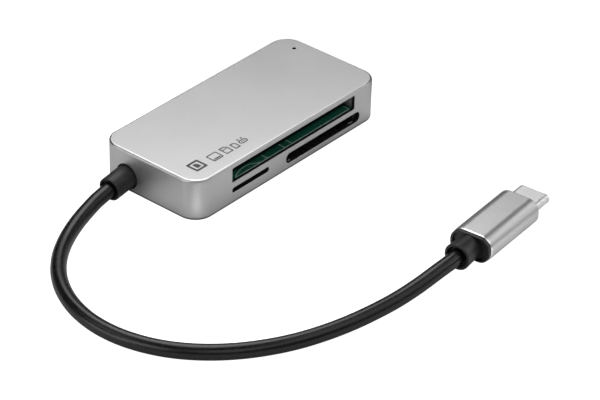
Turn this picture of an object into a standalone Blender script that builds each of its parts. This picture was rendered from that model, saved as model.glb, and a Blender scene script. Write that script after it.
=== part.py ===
"""A memory-card reader hub: an aluminium case with three card slots, on a short cable with a plug.

The frame: +X along the case towards the end without the cable, -Y out of the card slots, +Z up. The
origin is the centre of the case's underside. All sizes below are in millimetres; a mesh is scaled to
metres when it is made.
"""

import math

import bmesh
import bpy
from mathutils import Matrix, Vector

MM = 0.001

# Case
CASE_LENGTH = 65.75
CASE_WIDTH = 30.25
CASE_HEIGHT = 10.8
CASE_CORNER = 4.9
WALL = 0.8
TOP_CHAMFER = 0.55
BOTTOM_FILLET = 0.55
CORNER_STEPS = 10

# Base plate and its screws
PLATE_THICKNESS = 1.0
PLATE_GAP = 0.15
SCREW_X = 28.9
SCREW_Y = 11.6
SCREW_HEAD_RADIUS = 1.5
SCREW_HEAD_HEIGHT = 0.8
SCREW_RADIUS = 0.8
SCREW_LENGTH = 4.0
SCREW_SINK = 0.1
BOSS_RADIUS = 1.55
BOSS_BOTTOM = PLATE_THICKNESS + 0.15
PILOT_RADIUS = 0.95
PILOT_TOP = 5.0

# Main board
BOARD_BOTTOM = 4.8
BOARD_TOP = 5.8
BOARD_EDGE_GAP = 0.12
BOARD_HOLE_RADIUS = BOSS_RADIUS + 0.3
PART_GAP = 0.05
NOTCH_END_X = -24.6
NOTCH_HALF_WIDTH = 3.9

# Card slots in the long wall: centre, width, lowest and highest point
WIDE_X, WIDE_WIDTH, WIDE_LOW, WIDE_HIGH = 1.3, 44.0, 5.85, 9.65
MEDIUM_X, MEDIUM_WIDTH, MEDIUM_LOW, MEDIUM_HIGH = 11.85, 27.1, 1.8, 4.5
SMALL_X, SMALL_WIDTH, SMALL_LOW, SMALL_HIGH = -14.25, 12.85, 2.95, 4.25
FRONT_Y = -CASE_WIDTH / 2
INNER_FRONT_Y = FRONT_Y + WALL

# Wide slot: side guides and a pin header for a card 42.8 mm wide and 3.3 mm thick
ROOF = CASE_HEIGHT - WALL
GUIDE_WIDTH = 1.9
GUIDE_FRONT_Y = INNER_FRONT_Y + 0.3
GUIDE_BACK_Y = 12.0
RIB_DEPTH = 0.55
PIN_PITCH = 1.27
PIN_COUNT = 25
PIN_SIZE = 0.45
PIN_FRONT_Y = 2.0
HEADER_FRONT_Y = 6.5
HEADER_BACK_Y = 9.5
UPPER_ROW_Z = 8.35
LOWER_ROW_Z = UPPER_ROW_Z - PIN_PITCH

# Medium slot: a socket under the board for a card 24 mm wide
MEDIUM_CARD_WIDTH = 24.3
MEDIUM_COVER_LOW = 1.2
MEDIUM_SHEET = 0.25
MEDIUM_OUTER_WIDTH = 28.8
MEDIUM_DECK_Z = 4.25
MEDIUM_BACK_Y = 9.8
MEDIUM_STOP_Y = 8.3
DETECT_PIVOT = (MEDIUM_X - 11.2, 7.6)
DETECT_REST_DEG = -30.0
LOCK_PIVOT = (MEDIUM_X + 13.05, 3.4)
LEVER_LOW, LEVER_HIGH = 1.8, 3.8
LEVER_HUB_RADIUS = 0.5
LEVER_PIN_RADIUS = 0.25
LEVER_BORE_RADIUS = 0.32

# Small slot: a push-push socket under the board for a card 11 mm wide
SMALL_COVER_LOW = 2.65
SMALL_SHEET = 0.15
SMALL_OUTER_WIDTH = 14.0
SMALL_DECK_Z = 4.15
SMALL_BACK_Y = 1.2
SMALL_STOP_Y = 0.0
SLIDER_X = SMALL_X + 6.0
SLIDER_HALF_WIDTH = 0.32
SLIDER_LOW, SLIDER_HIGH = 3.1, 3.85
SLIDER_ARM_Y = -4.0
SLIDER_BACK_Y = -3.2
SPRING_RADIUS = 0.24
SPRING_WIRE_RADIUS = 0.07
SPRING_TURNS = 8

# Status lamp
LAMP_X = 29.0
LAMP_Y = 8.95
LAMP_HOLE_RADIUS = 0.5

# Cable and its boot, which leaves the case's -X end
CABLE_RADIUS = 1.85
BOOT_Y = 6.8
BOOT_Z = 3.95
BOOT_RADIUS = 2.92
BOOT_HOLE_RADIUS = 3.25
BOOT_FLANGE_RADIUS = 3.6
BOOT_FLANGE = 1.0
BOOT_LENGTH = 6.5
BOOT_BEND_START = 0.5
BOOT_DROOP_DEG = 3.7
BOOT_SWING_DEG = 4.8
SOCKET_DEPTH = 1.0
SOCKET_RADIUS = CABLE_RADIUS + 0.2
END_GAP = 0.3
WIRE_RADIUS = 0.35
WIRE_PITCH = 1.1

# Plug, lying on the same surface as the case, seen from its sleeve's back end
PLUG_X = -0.95
PLUG_Y = -69.35
PLUG_YAW_DEG = 4.5
SLEEVE_WIDTH = 10.8
SLEEVE_HEIGHT = 6.8
SLEEVE_CORNER = 3.1
SLEEVE_LENGTH = 20.0
SLEEVE_WALL = 0.6
SLEEVE_FRONT_WALL = 0.8
COLLAR_RADIUS = 3.3
COLLAR_NECK_RADIUS = 2.95
COLLAR_END = -6.2
COLLAR_SOCKET_DEPTH = 1.4
TONGUE_WIDTH = 8.25
TONGUE_HEIGHT = 2.4
TONGUE_WALL = 0.3
TONGUE_LENGTH = 6.65

# The cable's route, from the boot to the plug's collar: points on its centre line
CABLE_ROUTE = (
    (-38.7, 6.33, 3.6),
    (-42.6, 5.93, 3.25),
    (-45.9, 5.35, 2.95),
    (-52.5, 3.6, 2.35),
    (-58.95, 0.9, 1.95),
    (-64.8, -2.8, 1.9),
    (-69.8, -7.45, 1.9),
    (-73.75, -13.0, 1.9),
    (-76.5, -19.2, 1.9),
    (-77.9, -25.8, 1.9),
    (-77.85, -32.45, 1.9),
    (-76.4, -38.95, 1.9),
    (-73.7, -45.05, 1.9),
    (-69.8, -50.6, 1.9),
    (-64.95, -55.45, 1.9),
    (-59.4, -59.5, 1.9),
    (-53.4, -62.75, 1.9),
    (-47.0, -65.2, 1.9),
    (-40.4, -67.0, 1.9),
    (-33.75, -68.2, 1.9),
    (-27.0, -69.0, 1.95),
    (-20.3, -69.55, 2.4),
    (-13.5, -69.85, 3.05),
    (-9.4, -69.95, 3.33),
    (-6.05, -69.75, 3.4),
)
CABLE_POINTS = 24


# ---------------------------------------------------------------- materials


def material(name, colour, roughness, metallic=0.0):
    """A Principled material, made once for each name."""
    found = bpy.data.materials.get(name)
    if found:
        return found
    made = bpy.data.materials.new(name)
    made.use_nodes = True
    shader = made.node_tree.nodes["Principled BSDF"]
    shader.inputs["Base Color"].default_value = (*colour, 1.0)
    shader.inputs["Roughness"].default_value = roughness
    shader.inputs["Metallic"].default_value = metallic
    made.diffuse_color = (*colour, 1.0)
    return made


def blasted_aluminium():
    return material("blasted_aluminium", (0.62, 0.62, 0.63), 0.38, 1.0)


def board_green():
    return material("board_green", (0.01, 0.07, 0.045), 0.4)


def black_plastic():
    return material("black_plastic", (0.015, 0.015, 0.016), 0.5)


def black_rubber():
    return material("black_rubber", (0.02, 0.02, 0.02), 0.6)


def plated_steel():
    return material("plated_steel", (0.6, 0.6, 0.6), 0.25, 1.0)


def gold_plate():
    return material("gold_plate", (0.85, 0.6, 0.25), 0.25, 1.0)


def chip_black():
    return material("chip_black", (0.02, 0.02, 0.022), 0.55)


def ceramic():
    return material("ceramic", (0.35, 0.26, 0.18), 0.5)


def clear_plastic():
    return material("clear_plastic", (0.5, 0.5, 0.5), 0.15)


def wire_coat(name, colour):
    return material(name, colour, 0.5)


# ---------------------------------------------------------------- outlines


def rounded_outline(length, width, radius, steps=CORNER_STEPS):
    """A rounded rectangle centred on zero, anticlockwise."""
    points = []
    corners = ((1, 1, 0), (-1, 1, 90), (-1, -1, 180), (1, -1, 270))
    for side_u, side_v, first in corners:
        centre_u = side_u * (length / 2 - radius)
        centre_v = side_v * (width / 2 - radius)
        for step in range(steps + 1):
            angle = math.radians(first + 90 * step / steps)
            points.append((centre_u + radius * math.cos(angle), centre_v + radius * math.sin(angle)))
    return points


def circle_outline(radius, steps=24):
    angles = (2 * math.pi * step / steps for step in range(steps))
    return [(radius * math.cos(angle), radius * math.sin(angle)) for angle in angles]


def rectangle(u_low, u_high, v_low, v_high):
    return [(u_low, v_low), (u_high, v_low), (u_high, v_high), (u_low, v_high)]


def comb_outline(count, pitch, tooth_width, tooth_length, bar_depth):
    """A bar along +u with teeth towards -v: the bar's front edge is on v = 0."""
    reach = (count - 1) * pitch / 2 + tooth_width / 2
    points = [(reach, bar_depth), (-reach, bar_depth)]
    for tooth in range(count):
        middle = (tooth - (count - 1) / 2) * pitch
        points.append((middle - tooth_width / 2, 0.0))
        points.append((middle - tooth_width / 2, -tooth_length))
        points.append((middle + tooth_width / 2, -tooth_length))
        points.append((middle + tooth_width / 2, 0.0))
    without_doubled_ends = points[:2] + points[3:-1]
    return without_doubled_ends


# ---------------------------------------------------------------- solids

PLANES = {
    "X": lambda u, v, along: Vector((along, u, v)),
    "Y": lambda u, v, along: Vector((u, along, v)),
    "Z": lambda u, v, along: Vector((u, v, along)),
}


def place_object(name, data, finish, location=(0, 0, 0), turn_deg=0.0, parent=None):
    """An object for a mesh or curve, at a place in millimetres, turned about Z."""
    made = bpy.data.objects.new(name, data)
    bpy.context.collection.objects.link(made)
    made.location = Vector(location) * MM
    made.rotation_euler.z = math.radians(turn_deg)
    made.parent = parent
    if finish:
        data.materials.append(finish)
    return made


def loft(name, rings):
    """A closed mesh through rings of points in millimetres, each ring with as many points."""
    shape = bmesh.new()
    rows = [[shape.verts.new(point * MM) for point in ring] for ring in rings]
    count = len(rows[0])
    for low, high in zip(rows, rows[1:]):
        for k in range(count):
            shape.faces.new((low[k], low[(k + 1) % count], high[(k + 1) % count], high[k]))
    shape.faces.new(list(reversed(rows[0])))
    shape.faces.new(rows[-1])
    bmesh.ops.recalc_face_normals(shape, faces=shape.faces)
    mesh = bpy.data.meshes.new(name)
    shape.to_mesh(mesh)
    shape.free()
    mesh.shade_smooth()
    mesh.set_sharp_from_angle(angle=math.radians(35))
    return mesh


def prism(name, outline, axis, start, end):
    """An outline extruded along an axis."""
    lift = PLANES[axis]
    return loft(name, [[lift(u, v, along) for u, v in outline] for along in (start, end)])


def stacked(name, axis, levels):
    """A loft through outlines at places along an axis: levels holds (place, outline)."""
    lift = PLANES[axis]
    return loft(name, [[lift(u, v, along) for u, v in outline] for along, outline in levels])


def box(name, low, high):
    return prism(name, rectangle(low[0], high[0], low[1], high[1]), "Z", low[2], high[2])


def rod(name, radius, low, high, steps=16):
    return prism(name, circle_outline(radius, steps), "Z", low, high)


def tube_curve(name, points, radius, sides=2):
    """A round tube along points in millimetres, with flat closed ends."""
    curve = bpy.data.curves.new(name, "CURVE")
    curve.dimensions = "3D"
    curve.bevel_depth = radius * MM
    curve.bevel_resolution = sides
    curve.use_fill_caps = True
    spline = curve.splines.new("POLY")
    spline.points.add(len(points) - 1)
    for spot, point in zip(spline.points, points):
        spot.co = (*(Vector(point) * MM), 1.0)
    return curve


def tool(name, mesh, location=(0, 0, 0), turn_deg=0.0, parent=None):
    """A hidden shape that cuts or extends another."""
    made = place_object(name, mesh, None, location, turn_deg, parent)
    made.hide_render = True
    made.display_type = "WIRE"
    return made


def boolean(target, other, operation):
    change = target.modifiers.new(other.name, "BOOLEAN")
    change.operation = operation
    change.solver = "EXACT"
    change.object = other


def cut(target, other):
    boolean(target, other, "DIFFERENCE")


def extend(target, other):
    boolean(target, other, "UNION")


def soften(target, width, segments=2):
    """A small rounded edge all round."""
    bevel = target.modifiers.new("edges", "BEVEL")
    bevel.width = width * MM
    bevel.segments = segments
    bevel.limit_method = "ANGLE"
    bevel.angle_limit = math.radians(40)


# ---------------------------------------------------------------- case


def case_outline(inset):
    return rounded_outline(CASE_LENGTH - 2 * inset, CASE_WIDTH - 2 * inset, CASE_CORNER - inset)


def case_levels(steps=4):
    """The case's outline at heights that round its lower edge and chamfer its upper one."""
    levels = []
    for step in range(steps + 1):
        angle = math.pi / 2 * step / steps
        inset = BOTTOM_FILLET * (1 - math.sin(angle))
        levels.append((BOTTOM_FILLET * (1 - math.cos(angle)), case_outline(inset)))
    levels.append((CASE_HEIGHT - TOP_CHAMFER, case_outline(0.0)))
    levels.append((CASE_HEIGHT, case_outline(TOP_CHAMFER)))
    return levels


def screw_places():
    return [(x, y) for x in (-SCREW_X, SCREW_X) for y in (-SCREW_Y, SCREW_Y)]


def slot_cutter(name, centre_x, width, low, high, end_radius):
    """The shape of a card slot, as deep as the wall."""
    outline = rounded_outline(width, high - low, end_radius, steps=8)
    mesh = prism(name, outline, "Y", FRONT_Y - 1.0, INNER_FRONT_Y + 0.2)
    return tool(name, mesh, (centre_x, 0, (low + high) / 2))


def make_case_shell():
    shell = place_object(
        "case_shell",
        stacked("case_shell", "Z", case_levels()),
        blasted_aluminium(),
    )
    hollow = tool("case_hollow", prism("case_hollow", case_outline(WALL), "Z", -1.0, ROOF))
    for number, (x, y) in enumerate(screw_places(), 1):
        boss = tool(f"boss_{number}", rod("boss", BOSS_RADIUS, BOSS_BOTTOM, ROOF + 1.0), (x, y, 0))
        cut(hollow, boss)
    cut(shell, hollow)
    for number, (x, y) in enumerate(screw_places(), 1):
        pilot = tool(f"pilot_{number}", rod("pilot", PILOT_RADIUS, -1.0, PILOT_TOP), (x, y, 0))
        cut(shell, pilot)
    medium_corner = 0.49 * (MEDIUM_HIGH - MEDIUM_LOW)
    small_corner = 0.49 * (SMALL_HIGH - SMALL_LOW)
    slots = (
        ("wide_slot", WIDE_X, WIDE_WIDTH, WIDE_LOW, WIDE_HIGH, 0.15),
        ("medium_slot", MEDIUM_X, MEDIUM_WIDTH, MEDIUM_LOW, MEDIUM_HIGH, medium_corner),
        ("small_slot", SMALL_X, SMALL_WIDTH, SMALL_LOW, SMALL_HIGH, small_corner),
    )
    for slot in slots:
        cut(shell, slot_cutter(*slot))
    lamp_mesh = rod("lamp_hole", LAMP_HOLE_RADIUS, ROOF - 1, CASE_HEIGHT + 1)
    cut(shell, tool("lamp_hole", lamp_mesh, (LAMP_X, LAMP_Y, 0)))
    end_x = -CASE_LENGTH / 2
    boot_mesh = prism("boot_hole", circle_outline(BOOT_HOLE_RADIUS, 32), "X", end_x - 1, end_x + 1.5)
    cut(shell, tool("boot_hole", boot_mesh, (0, BOOT_Y, BOOT_Z)))


def make_base_plate():
    """The plate that closes the underside: countersunk screw holes and a relief for the boot's flange."""
    slab = prism("base_plate", case_outline(WALL + PLATE_GAP), "Z", 0.0, PLATE_THICKNESS)
    plate = place_object("base_plate", slab, blasted_aluminium())
    sink = PART_GAP + 0.1
    for number, (x, y) in enumerate(screw_places(), 1):
        hole = stacked(
            "screw_hole",
            "Z",
            [
                (-0.5, circle_outline(SCREW_HEAD_RADIUS + sink)),
                (SCREW_SINK, circle_outline(SCREW_HEAD_RADIUS + sink)),
                (SCREW_SINK + SCREW_HEAD_HEIGHT, circle_outline(SCREW_RADIUS + sink)),
                (PLATE_THICKNESS + 0.5, circle_outline(SCREW_RADIUS + sink)),
            ],
        )
        cut(plate, tool(f"screw_hole_{number}", hole, (x, y, 0)))
    reach = BOOT_FLANGE_RADIUS + PLATE_GAP
    flange_end = boot_axis(0.0)[0].x + PLATE_GAP
    low = (-CASE_LENGTH / 2, BOOT_Y - reach, -0.5)
    high = (flange_end, BOOT_Y + reach, PLATE_THICKNESS + 0.5)
    cut(plate, tool("flange_relief", box("flange_relief", low, high)))


def make_base_screws():
    mesh = stacked(
        "base_screw",
        "Z",
        [
            (SCREW_SINK, circle_outline(SCREW_HEAD_RADIUS)),
            (SCREW_SINK + 0.1, circle_outline(SCREW_HEAD_RADIUS)),
            (SCREW_SINK + SCREW_HEAD_HEIGHT, circle_outline(SCREW_RADIUS)),
            (SCREW_SINK + SCREW_LENGTH - 0.3, circle_outline(SCREW_RADIUS)),
            (SCREW_SINK + SCREW_LENGTH, circle_outline(SCREW_RADIUS - 0.25)),
        ],
    )
    recess_long, recess_thin, recess_deep = 0.85, 0.15, 0.55
    for number, (x, y) in enumerate(screw_places(), 1):
        screw = place_object(f"base_screw_{number}", mesh.copy(), plated_steel(), (x, y, 0))
        for turn, size in (("a", (recess_long, recess_thin)), ("b", (recess_thin, recess_long))):
            blade = box("recess", (-size[0], -size[1], -0.5), (size[0], size[1], recess_deep))
            cut(screw, tool(f"recess_{number}{turn}", blade, (x, y, 0)))


# ---------------------------------------------------------------- board


def make_main_board():
    slab = prism("main_board", case_outline(WALL + BOARD_EDGE_GAP), "Z", BOARD_BOTTOM, BOARD_TOP)
    board = place_object("main_board", slab, board_green())
    for number, (x, y) in enumerate(screw_places(), 1):
        hole = rod("board_hole", BOARD_HOLE_RADIUS, BOARD_BOTTOM - 1, BOARD_TOP + 1)
        cut(board, tool(f"board_hole_{number}", hole, (x, y, 0)))
    notch = box(
        "cable_notch",
        (-CASE_LENGTH / 2, BOOT_Y - NOTCH_HALF_WIDTH, BOARD_BOTTOM - 1),
        (NOTCH_END_X, BOOT_Y + NOTCH_HALF_WIDTH - 0.1, BOARD_TOP + 1),
    )
    cut(board, tool("cable_notch", notch))


def make_board_parts():
    """Packages under the board, each with its top just below it, and a lamp on the board."""
    under = BOARD_BOTTOM - PART_GAP
    packages = (
        ("controller_chip", (-14.5, 8.0), (7.0, 7.0, 0.9), chip_black()),
        ("memory_chip", (-22.0, 6.5), (5.0, 4.0, 0.8), chip_black()),
        ("voltage_regulator", (-22.5, 11.0), (3.0, 1.7, 1.1), chip_black()),
        ("crystal", (-6.5, 11.5), (3.2, 2.5, 0.8), plated_steel()),
    )
    for name, (x, y), (length, width, height), finish in packages:
        low = (x - length / 2, y - width / 2, under - height)
        high = (x + length / 2, y + width / 2, under)
        soften(place_object(name, box(name, low, high), finish), 0.12, 1)
    lamp_low = (LAMP_X - 0.8, LAMP_Y - 0.4, BOARD_TOP + PART_GAP)
    lamp_high = (LAMP_X + 0.8, LAMP_Y + 0.4, BOARD_TOP + PART_GAP + 0.6)
    soften(place_object("status_lamp", box("status_lamp", lamp_low, lamp_high), clear_plastic()), 0.08, 1)
    window = stacked(
        "lamp_window",
        "Z",
        [
            (BOARD_TOP + 0.85, circle_outline(LAMP_HOLE_RADIUS - 0.07)),
            (CASE_HEIGHT - 0.2, circle_outline(LAMP_HOLE_RADIUS - 0.07)),
            (CASE_HEIGHT - 0.12, circle_outline(LAMP_HOLE_RADIUS - 0.2)),
        ],
    )
    place_object("lamp_window", window, clear_plastic(), (LAMP_X, LAMP_Y, 0))


def make_capacitors():
    """Ceramic capacitors: a body between two slightly larger end caps."""
    top = BOARD_BOTTOM - PART_GAP
    places = ((-27.5, -6.0), (-24.5, -6.0), (-5.3, 4.5), (-5.3, 7.5))
    cap_size, body_size, cap_length, half_length = 1.25, 1.15, 0.35, 1.0
    centre_z = top - cap_size / 2
    sections = (
        (-half_length, cap_size),
        (-half_length + cap_length, cap_size),
        (-half_length + cap_length, body_size),
        (half_length - cap_length, body_size),
        (half_length - cap_length, cap_size),
        (half_length, cap_size),
    )
    for number, (x, y) in enumerate(places, 1):
        levels = [(place, rectangle(-size / 2, size / 2, -size / 2, size / 2)) for place, size in sections]
        place_object(f"capacitor_{number}", stacked("capacitor", "X", levels), ceramic(), (x, y, centre_z))


# ---------------------------------------------------------------- wide slot


def make_wide_guides():
    """Black side guides with a rib that runs in the card's side groove."""
    rib_low, rib_high = 7.25, 8.15
    base, top = BOARD_TOP + 0.1, ROOF - 0.1
    inner = WIDE_WIDTH / 2 + 0.1
    for name, side in (("wide_guide_left", -1), ("wide_guide_right", 1)):
        profile = [
            (side * (inner + GUIDE_WIDTH), base),
            (side * inner, base),
            (side * inner, rib_low),
            (side * (inner - RIB_DEPTH), rib_low + 0.15),
            (side * (inner - RIB_DEPTH), rib_high - 0.15),
            (side * inner, rib_high),
            (side * inner, top),
            (side * (inner + GUIDE_WIDTH), top),
        ]
        mesh = prism(name, profile, "Y", GUIDE_FRONT_Y, GUIDE_BACK_Y)
        place_object(name, mesh, black_plastic(), (WIDE_X, 0, 0))


def make_wide_header():
    half = WIDE_WIDTH / 2 - RIB_DEPTH - 0.2
    slit_half_width = (PIN_COUNT - 1) * PIN_PITCH / 2 + 0.6
    slit_half_height = PIN_SIZE / 2 + 0.1
    block = box(
        "wide_pin_header",
        (-half, HEADER_FRONT_Y, BOARD_TOP + 0.1),
        (half, HEADER_BACK_Y, ROOF - 0.15),
    )
    header = place_object("wide_pin_header", block, black_plastic(), (WIDE_X, 0, 0))
    for name, row_z in (("upper_slit", UPPER_ROW_Z), ("lower_slit", LOWER_ROW_Z)):
        slit = box(
            name,
            (-slit_half_width, HEADER_FRONT_Y - 1, row_z - slit_half_height),
            (slit_half_width, HEADER_BACK_Y + 1, row_z + slit_half_height),
        )
        cut(header, tool(name, slit, (WIDE_X, 0, 0)))


def make_wide_pins():
    """Each row of pins with the strip that carries it down to the board."""
    strip_half = (PIN_COUNT - 1) * PIN_PITCH / 2 + PIN_SIZE / 2
    rows = (("wide_pins_lower", LOWER_ROW_Z, 9.8), ("wide_pins_upper", UPPER_ROW_Z, 10.7))
    for name, row_z, bar_y in rows:
        outline = comb_outline(PIN_COUNT, PIN_PITCH, PIN_SIZE, bar_y - PIN_FRONT_Y, PIN_SIZE)
        comb = prism(name, outline, "Z", row_z - PIN_SIZE / 2, row_z + PIN_SIZE / 2)
        pins = place_object(name, comb, gold_plate(), (WIDE_X, bar_y, 0))
        tail_low = (-strip_half, 0.1, BOARD_TOP + PART_GAP)
        tail_high = (strip_half, PIN_SIZE - 0.05, row_z)
        extend(pins, tool(f"{name}_tails", box(name, tail_low, tail_high), (WIDE_X, bar_y, 0)))


# ---------------------------------------------------------------- medium slot


def channel_outline(half_width, low, high, sheet):
    """A shallow U of sheet metal, open at the top."""
    return [
        (-half_width, high),
        (-half_width, low),
        (half_width, low),
        (half_width, high),
        (half_width - sheet, high),
        (half_width - sheet, low + sheet),
        (-half_width + sheet, low + sheet),
        (-half_width + sheet, high),
    ]


def make_medium_socket():
    half = MEDIUM_OUTER_WIDTH / 2
    top = BOARD_BOTTOM - 0.1
    cover = prism(
        "medium_socket_cover",
        channel_outline(half, MEDIUM_COVER_LOW, top, MEDIUM_SHEET),
        "Y",
        GUIDE_FRONT_Y,
        MEDIUM_BACK_Y,
    )
    place_object("medium_socket_cover", cover, plated_steel(), (MEDIUM_X, 0, 0))
    body_half = half - MEDIUM_SHEET - 0.1
    body_low = MEDIUM_COVER_LOW + MEDIUM_SHEET + 0.1
    body = place_object(
        "medium_socket_body",
        box("medium_socket_body", (-body_half, GUIDE_FRONT_Y, body_low), (body_half, MEDIUM_BACK_Y, top)),
        black_plastic(),
        (MEDIUM_X, 0, 0),
    )
    card_half = MEDIUM_CARD_WIDTH / 2
    bay = box("medium_bay", (-card_half, FRONT_Y, 0), (card_half, MEDIUM_STOP_Y, MEDIUM_DECK_Z))
    cut(body, tool("medium_bay", bay, (MEDIUM_X, 0, 0)))
    lever_x, lever_y = LOCK_PIVOT
    lever_bay = box("lever_bay", (-1.5, -6.6, 0), (0.7, 0.8, MEDIUM_DECK_Z))
    cut(body, tool("lever_bay", lever_bay, (lever_x, lever_y, 0)))


def make_medium_contacts():
    bar_depth = 0.6
    outline = comb_outline(9, 2.5, 1.0, 5.5, bar_depth)
    mesh = prism("medium_contacts", outline, "Z", MEDIUM_DECK_Z - 0.3, MEDIUM_DECK_Z - 0.15)
    bar_y = MEDIUM_STOP_Y - 0.2 - bar_depth
    place_object("medium_contacts", mesh, gold_plate(), (MEDIUM_X + 0.7, bar_y, 0))


def make_lever(name, pivot, turn_deg, arms):
    """A flat lever on a fixed pin: a hub with a bore, and arms given as boxes."""
    finish = plated_steel()
    hub = rod(name, LEVER_HUB_RADIUS, LEVER_LOW, LEVER_HIGH, 20)
    lever = place_object(name, hub, finish, (*pivot, 0), turn_deg)
    for number, (low, high) in enumerate(arms, 1):
        arm = box(name, (*low, LEVER_LOW + 0.2), (*high, LEVER_HIGH - 0.2))
        extend(lever, tool(f"{name}_arm_{number}", arm, (*pivot, 0), turn_deg))
    bore = rod("bore", LEVER_BORE_RADIUS, LEVER_LOW - 1, LEVER_HIGH + 1, 20)
    cut(lever, tool(f"{name}_bore", bore, (*pivot, 0), turn_deg))


def make_medium_levers():
    """The card-detect lever, pushed back by a card, and the write-protect lever, pushed by its tab."""
    detect_arm = ((0.2, -0.15), (3.2, 0.15))
    lock_arm, lock_nose = ((-0.12, -5.0), (0.12, -0.2)), ((-1.3, -5.0), (0.05, -4.3))
    make_lever("medium_detect_lever", DETECT_PIVOT, DETECT_REST_DEG, [detect_arm])
    make_lever("medium_lock_lever", LOCK_PIVOT, 0.0, [lock_arm, lock_nose])
    pin_low, pin_high = MEDIUM_COVER_LOW + MEDIUM_SHEET + 0.15, MEDIUM_DECK_Z - 0.1
    for name, pivot in (("medium_detect_pin", DETECT_PIVOT), ("medium_lock_pin", LOCK_PIVOT)):
        place_object(name, rod(name, LEVER_PIN_RADIUS, pin_low, pin_high), plated_steel(), (*pivot, 0))


# ---------------------------------------------------------------- small slot


def make_small_socket():
    half = SMALL_OUTER_WIDTH / 2
    top = BOARD_BOTTOM - 0.1
    sheet = channel_outline(half, SMALL_COVER_LOW, top, SMALL_SHEET)
    cover = prism("small_socket_cover", sheet, "Y", GUIDE_FRONT_Y, SMALL_BACK_Y)
    place_object("small_socket_cover", cover, plated_steel(), (SMALL_X, 0, 0))
    body_half = half - SMALL_SHEET - 0.1
    body_low = SMALL_COVER_LOW + SMALL_SHEET + 0.1
    body = place_object(
        "small_socket_body",
        box("small_socket_body", (-body_half, GUIDE_FRONT_Y, body_low), (body_half, SMALL_BACK_Y, top)),
        black_plastic(),
        (SMALL_X, 0, 0),
    )
    bay = box("small_bay", (-5.6, FRONT_Y, 0), (6.4, SMALL_STOP_Y, SMALL_DECK_Z))
    cut(body, tool("small_bay", bay, (SMALL_X, 0, 0)))


def make_small_contacts():
    bar_depth = 0.5
    outline = comb_outline(8, 1.1, 0.6, 4.0, bar_depth)
    mesh = prism("small_contacts", outline, "Z", SMALL_DECK_Z - 0.2, SMALL_DECK_Z - 0.1)
    place_object("small_contacts", mesh, gold_plate(), (SMALL_X - 0.6, SMALL_STOP_Y - 0.2 - bar_depth, 0))


def make_small_slider():
    """An L-shaped slider beside the card, with an arm across the card's front edge."""
    side_low, side_high = SLIDER_X - SLIDER_HALF_WIDTH, SLIDER_X + SLIDER_HALF_WIDTH
    outline = [
        (side_high, SLIDER_BACK_Y),
        (SLIDER_X - 3.3, SLIDER_BACK_Y),
        (SLIDER_X - 3.3, SLIDER_ARM_Y),
        (side_low, SLIDER_ARM_Y),
        (side_low, SLIDER_ARM_Y - 3.5),
        (side_high, SLIDER_ARM_Y - 3.5),
    ]
    mesh = prism("small_eject_slider", outline, "Z", SLIDER_LOW, SLIDER_HIGH)
    place_object("small_eject_slider", mesh, black_plastic())


def make_small_spring():
    """A compression spring from the slider back to the socket's rear wall."""
    start, end = SLIDER_BACK_Y + 0.15, SMALL_STOP_Y - 0.15
    centre_z = (SLIDER_LOW + SLIDER_HIGH) / 2
    steps = SPRING_TURNS * 9
    points = []
    for step in range(steps + 1):
        share = step / steps
        angle = 2 * math.pi * SPRING_TURNS * share
        along = start + (end - start) * share
        points.append(
            (SLIDER_X + SPRING_RADIUS * math.cos(angle), along, centre_z + SPRING_RADIUS * math.sin(angle))
        )
    spring = tube_curve("small_eject_spring", points, SPRING_WIRE_RADIUS, 1)
    place_object("small_eject_spring", spring, plated_steel())


# ---------------------------------------------------------------- cable


def boot_axis(distance):
    """The boot's centre line, from its inner face: a point and a direction, at a distance along it."""
    inner_x = -CASE_LENGTH / 2 + WALL + 0.15 + BOOT_FLANGE
    straight = inner_x + CASE_LENGTH / 2 + BOOT_BEND_START
    start = Vector((inner_x, BOOT_Y, BOOT_Z))
    outward = Vector((-1, 0, 0))
    swing = math.radians(BOOT_SWING_DEG)
    droop = math.radians(BOOT_DROOP_DEG)
    bent = Vector((-math.cos(swing) * math.cos(droop), -math.sin(swing), -math.sin(droop))).normalized()
    if distance <= straight:
        return start + outward * distance, outward
    return start + outward * straight + bent * (distance - straight), bent


def make_cable_boot():
    """A moulded strain relief: a flange inside the wall, a neck through it and a round sleeve outside."""
    wall_start = BOOT_FLANGE
    end = BOOT_FLANGE + 0.15 + WALL + BOOT_LENGTH
    profile = (
        (0.0, BOOT_FLANGE_RADIUS),
        (wall_start, BOOT_FLANGE_RADIUS),
        (wall_start, BOOT_RADIUS),
        (wall_start + WALL + 0.5, BOOT_RADIUS),
        (end - 3.0, BOOT_RADIUS),
        (end - 0.25, BOOT_RADIUS),
        (end, BOOT_RADIUS - 0.25),
        (end, SOCKET_RADIUS),
        (end - SOCKET_DEPTH, SOCKET_RADIUS),
    )
    rings = []
    for distance, radius in profile:
        centre, direction = boot_axis(distance)
        side = Vector((0, 0, 1)).cross(direction).normalized()
        up = direction.cross(side)
        rings.append([centre + side * u + up * v for u, v in circle_outline(radius, 28)])
    place_object("cable_boot", loft("cable_boot", rings), black_rubber())


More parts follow.
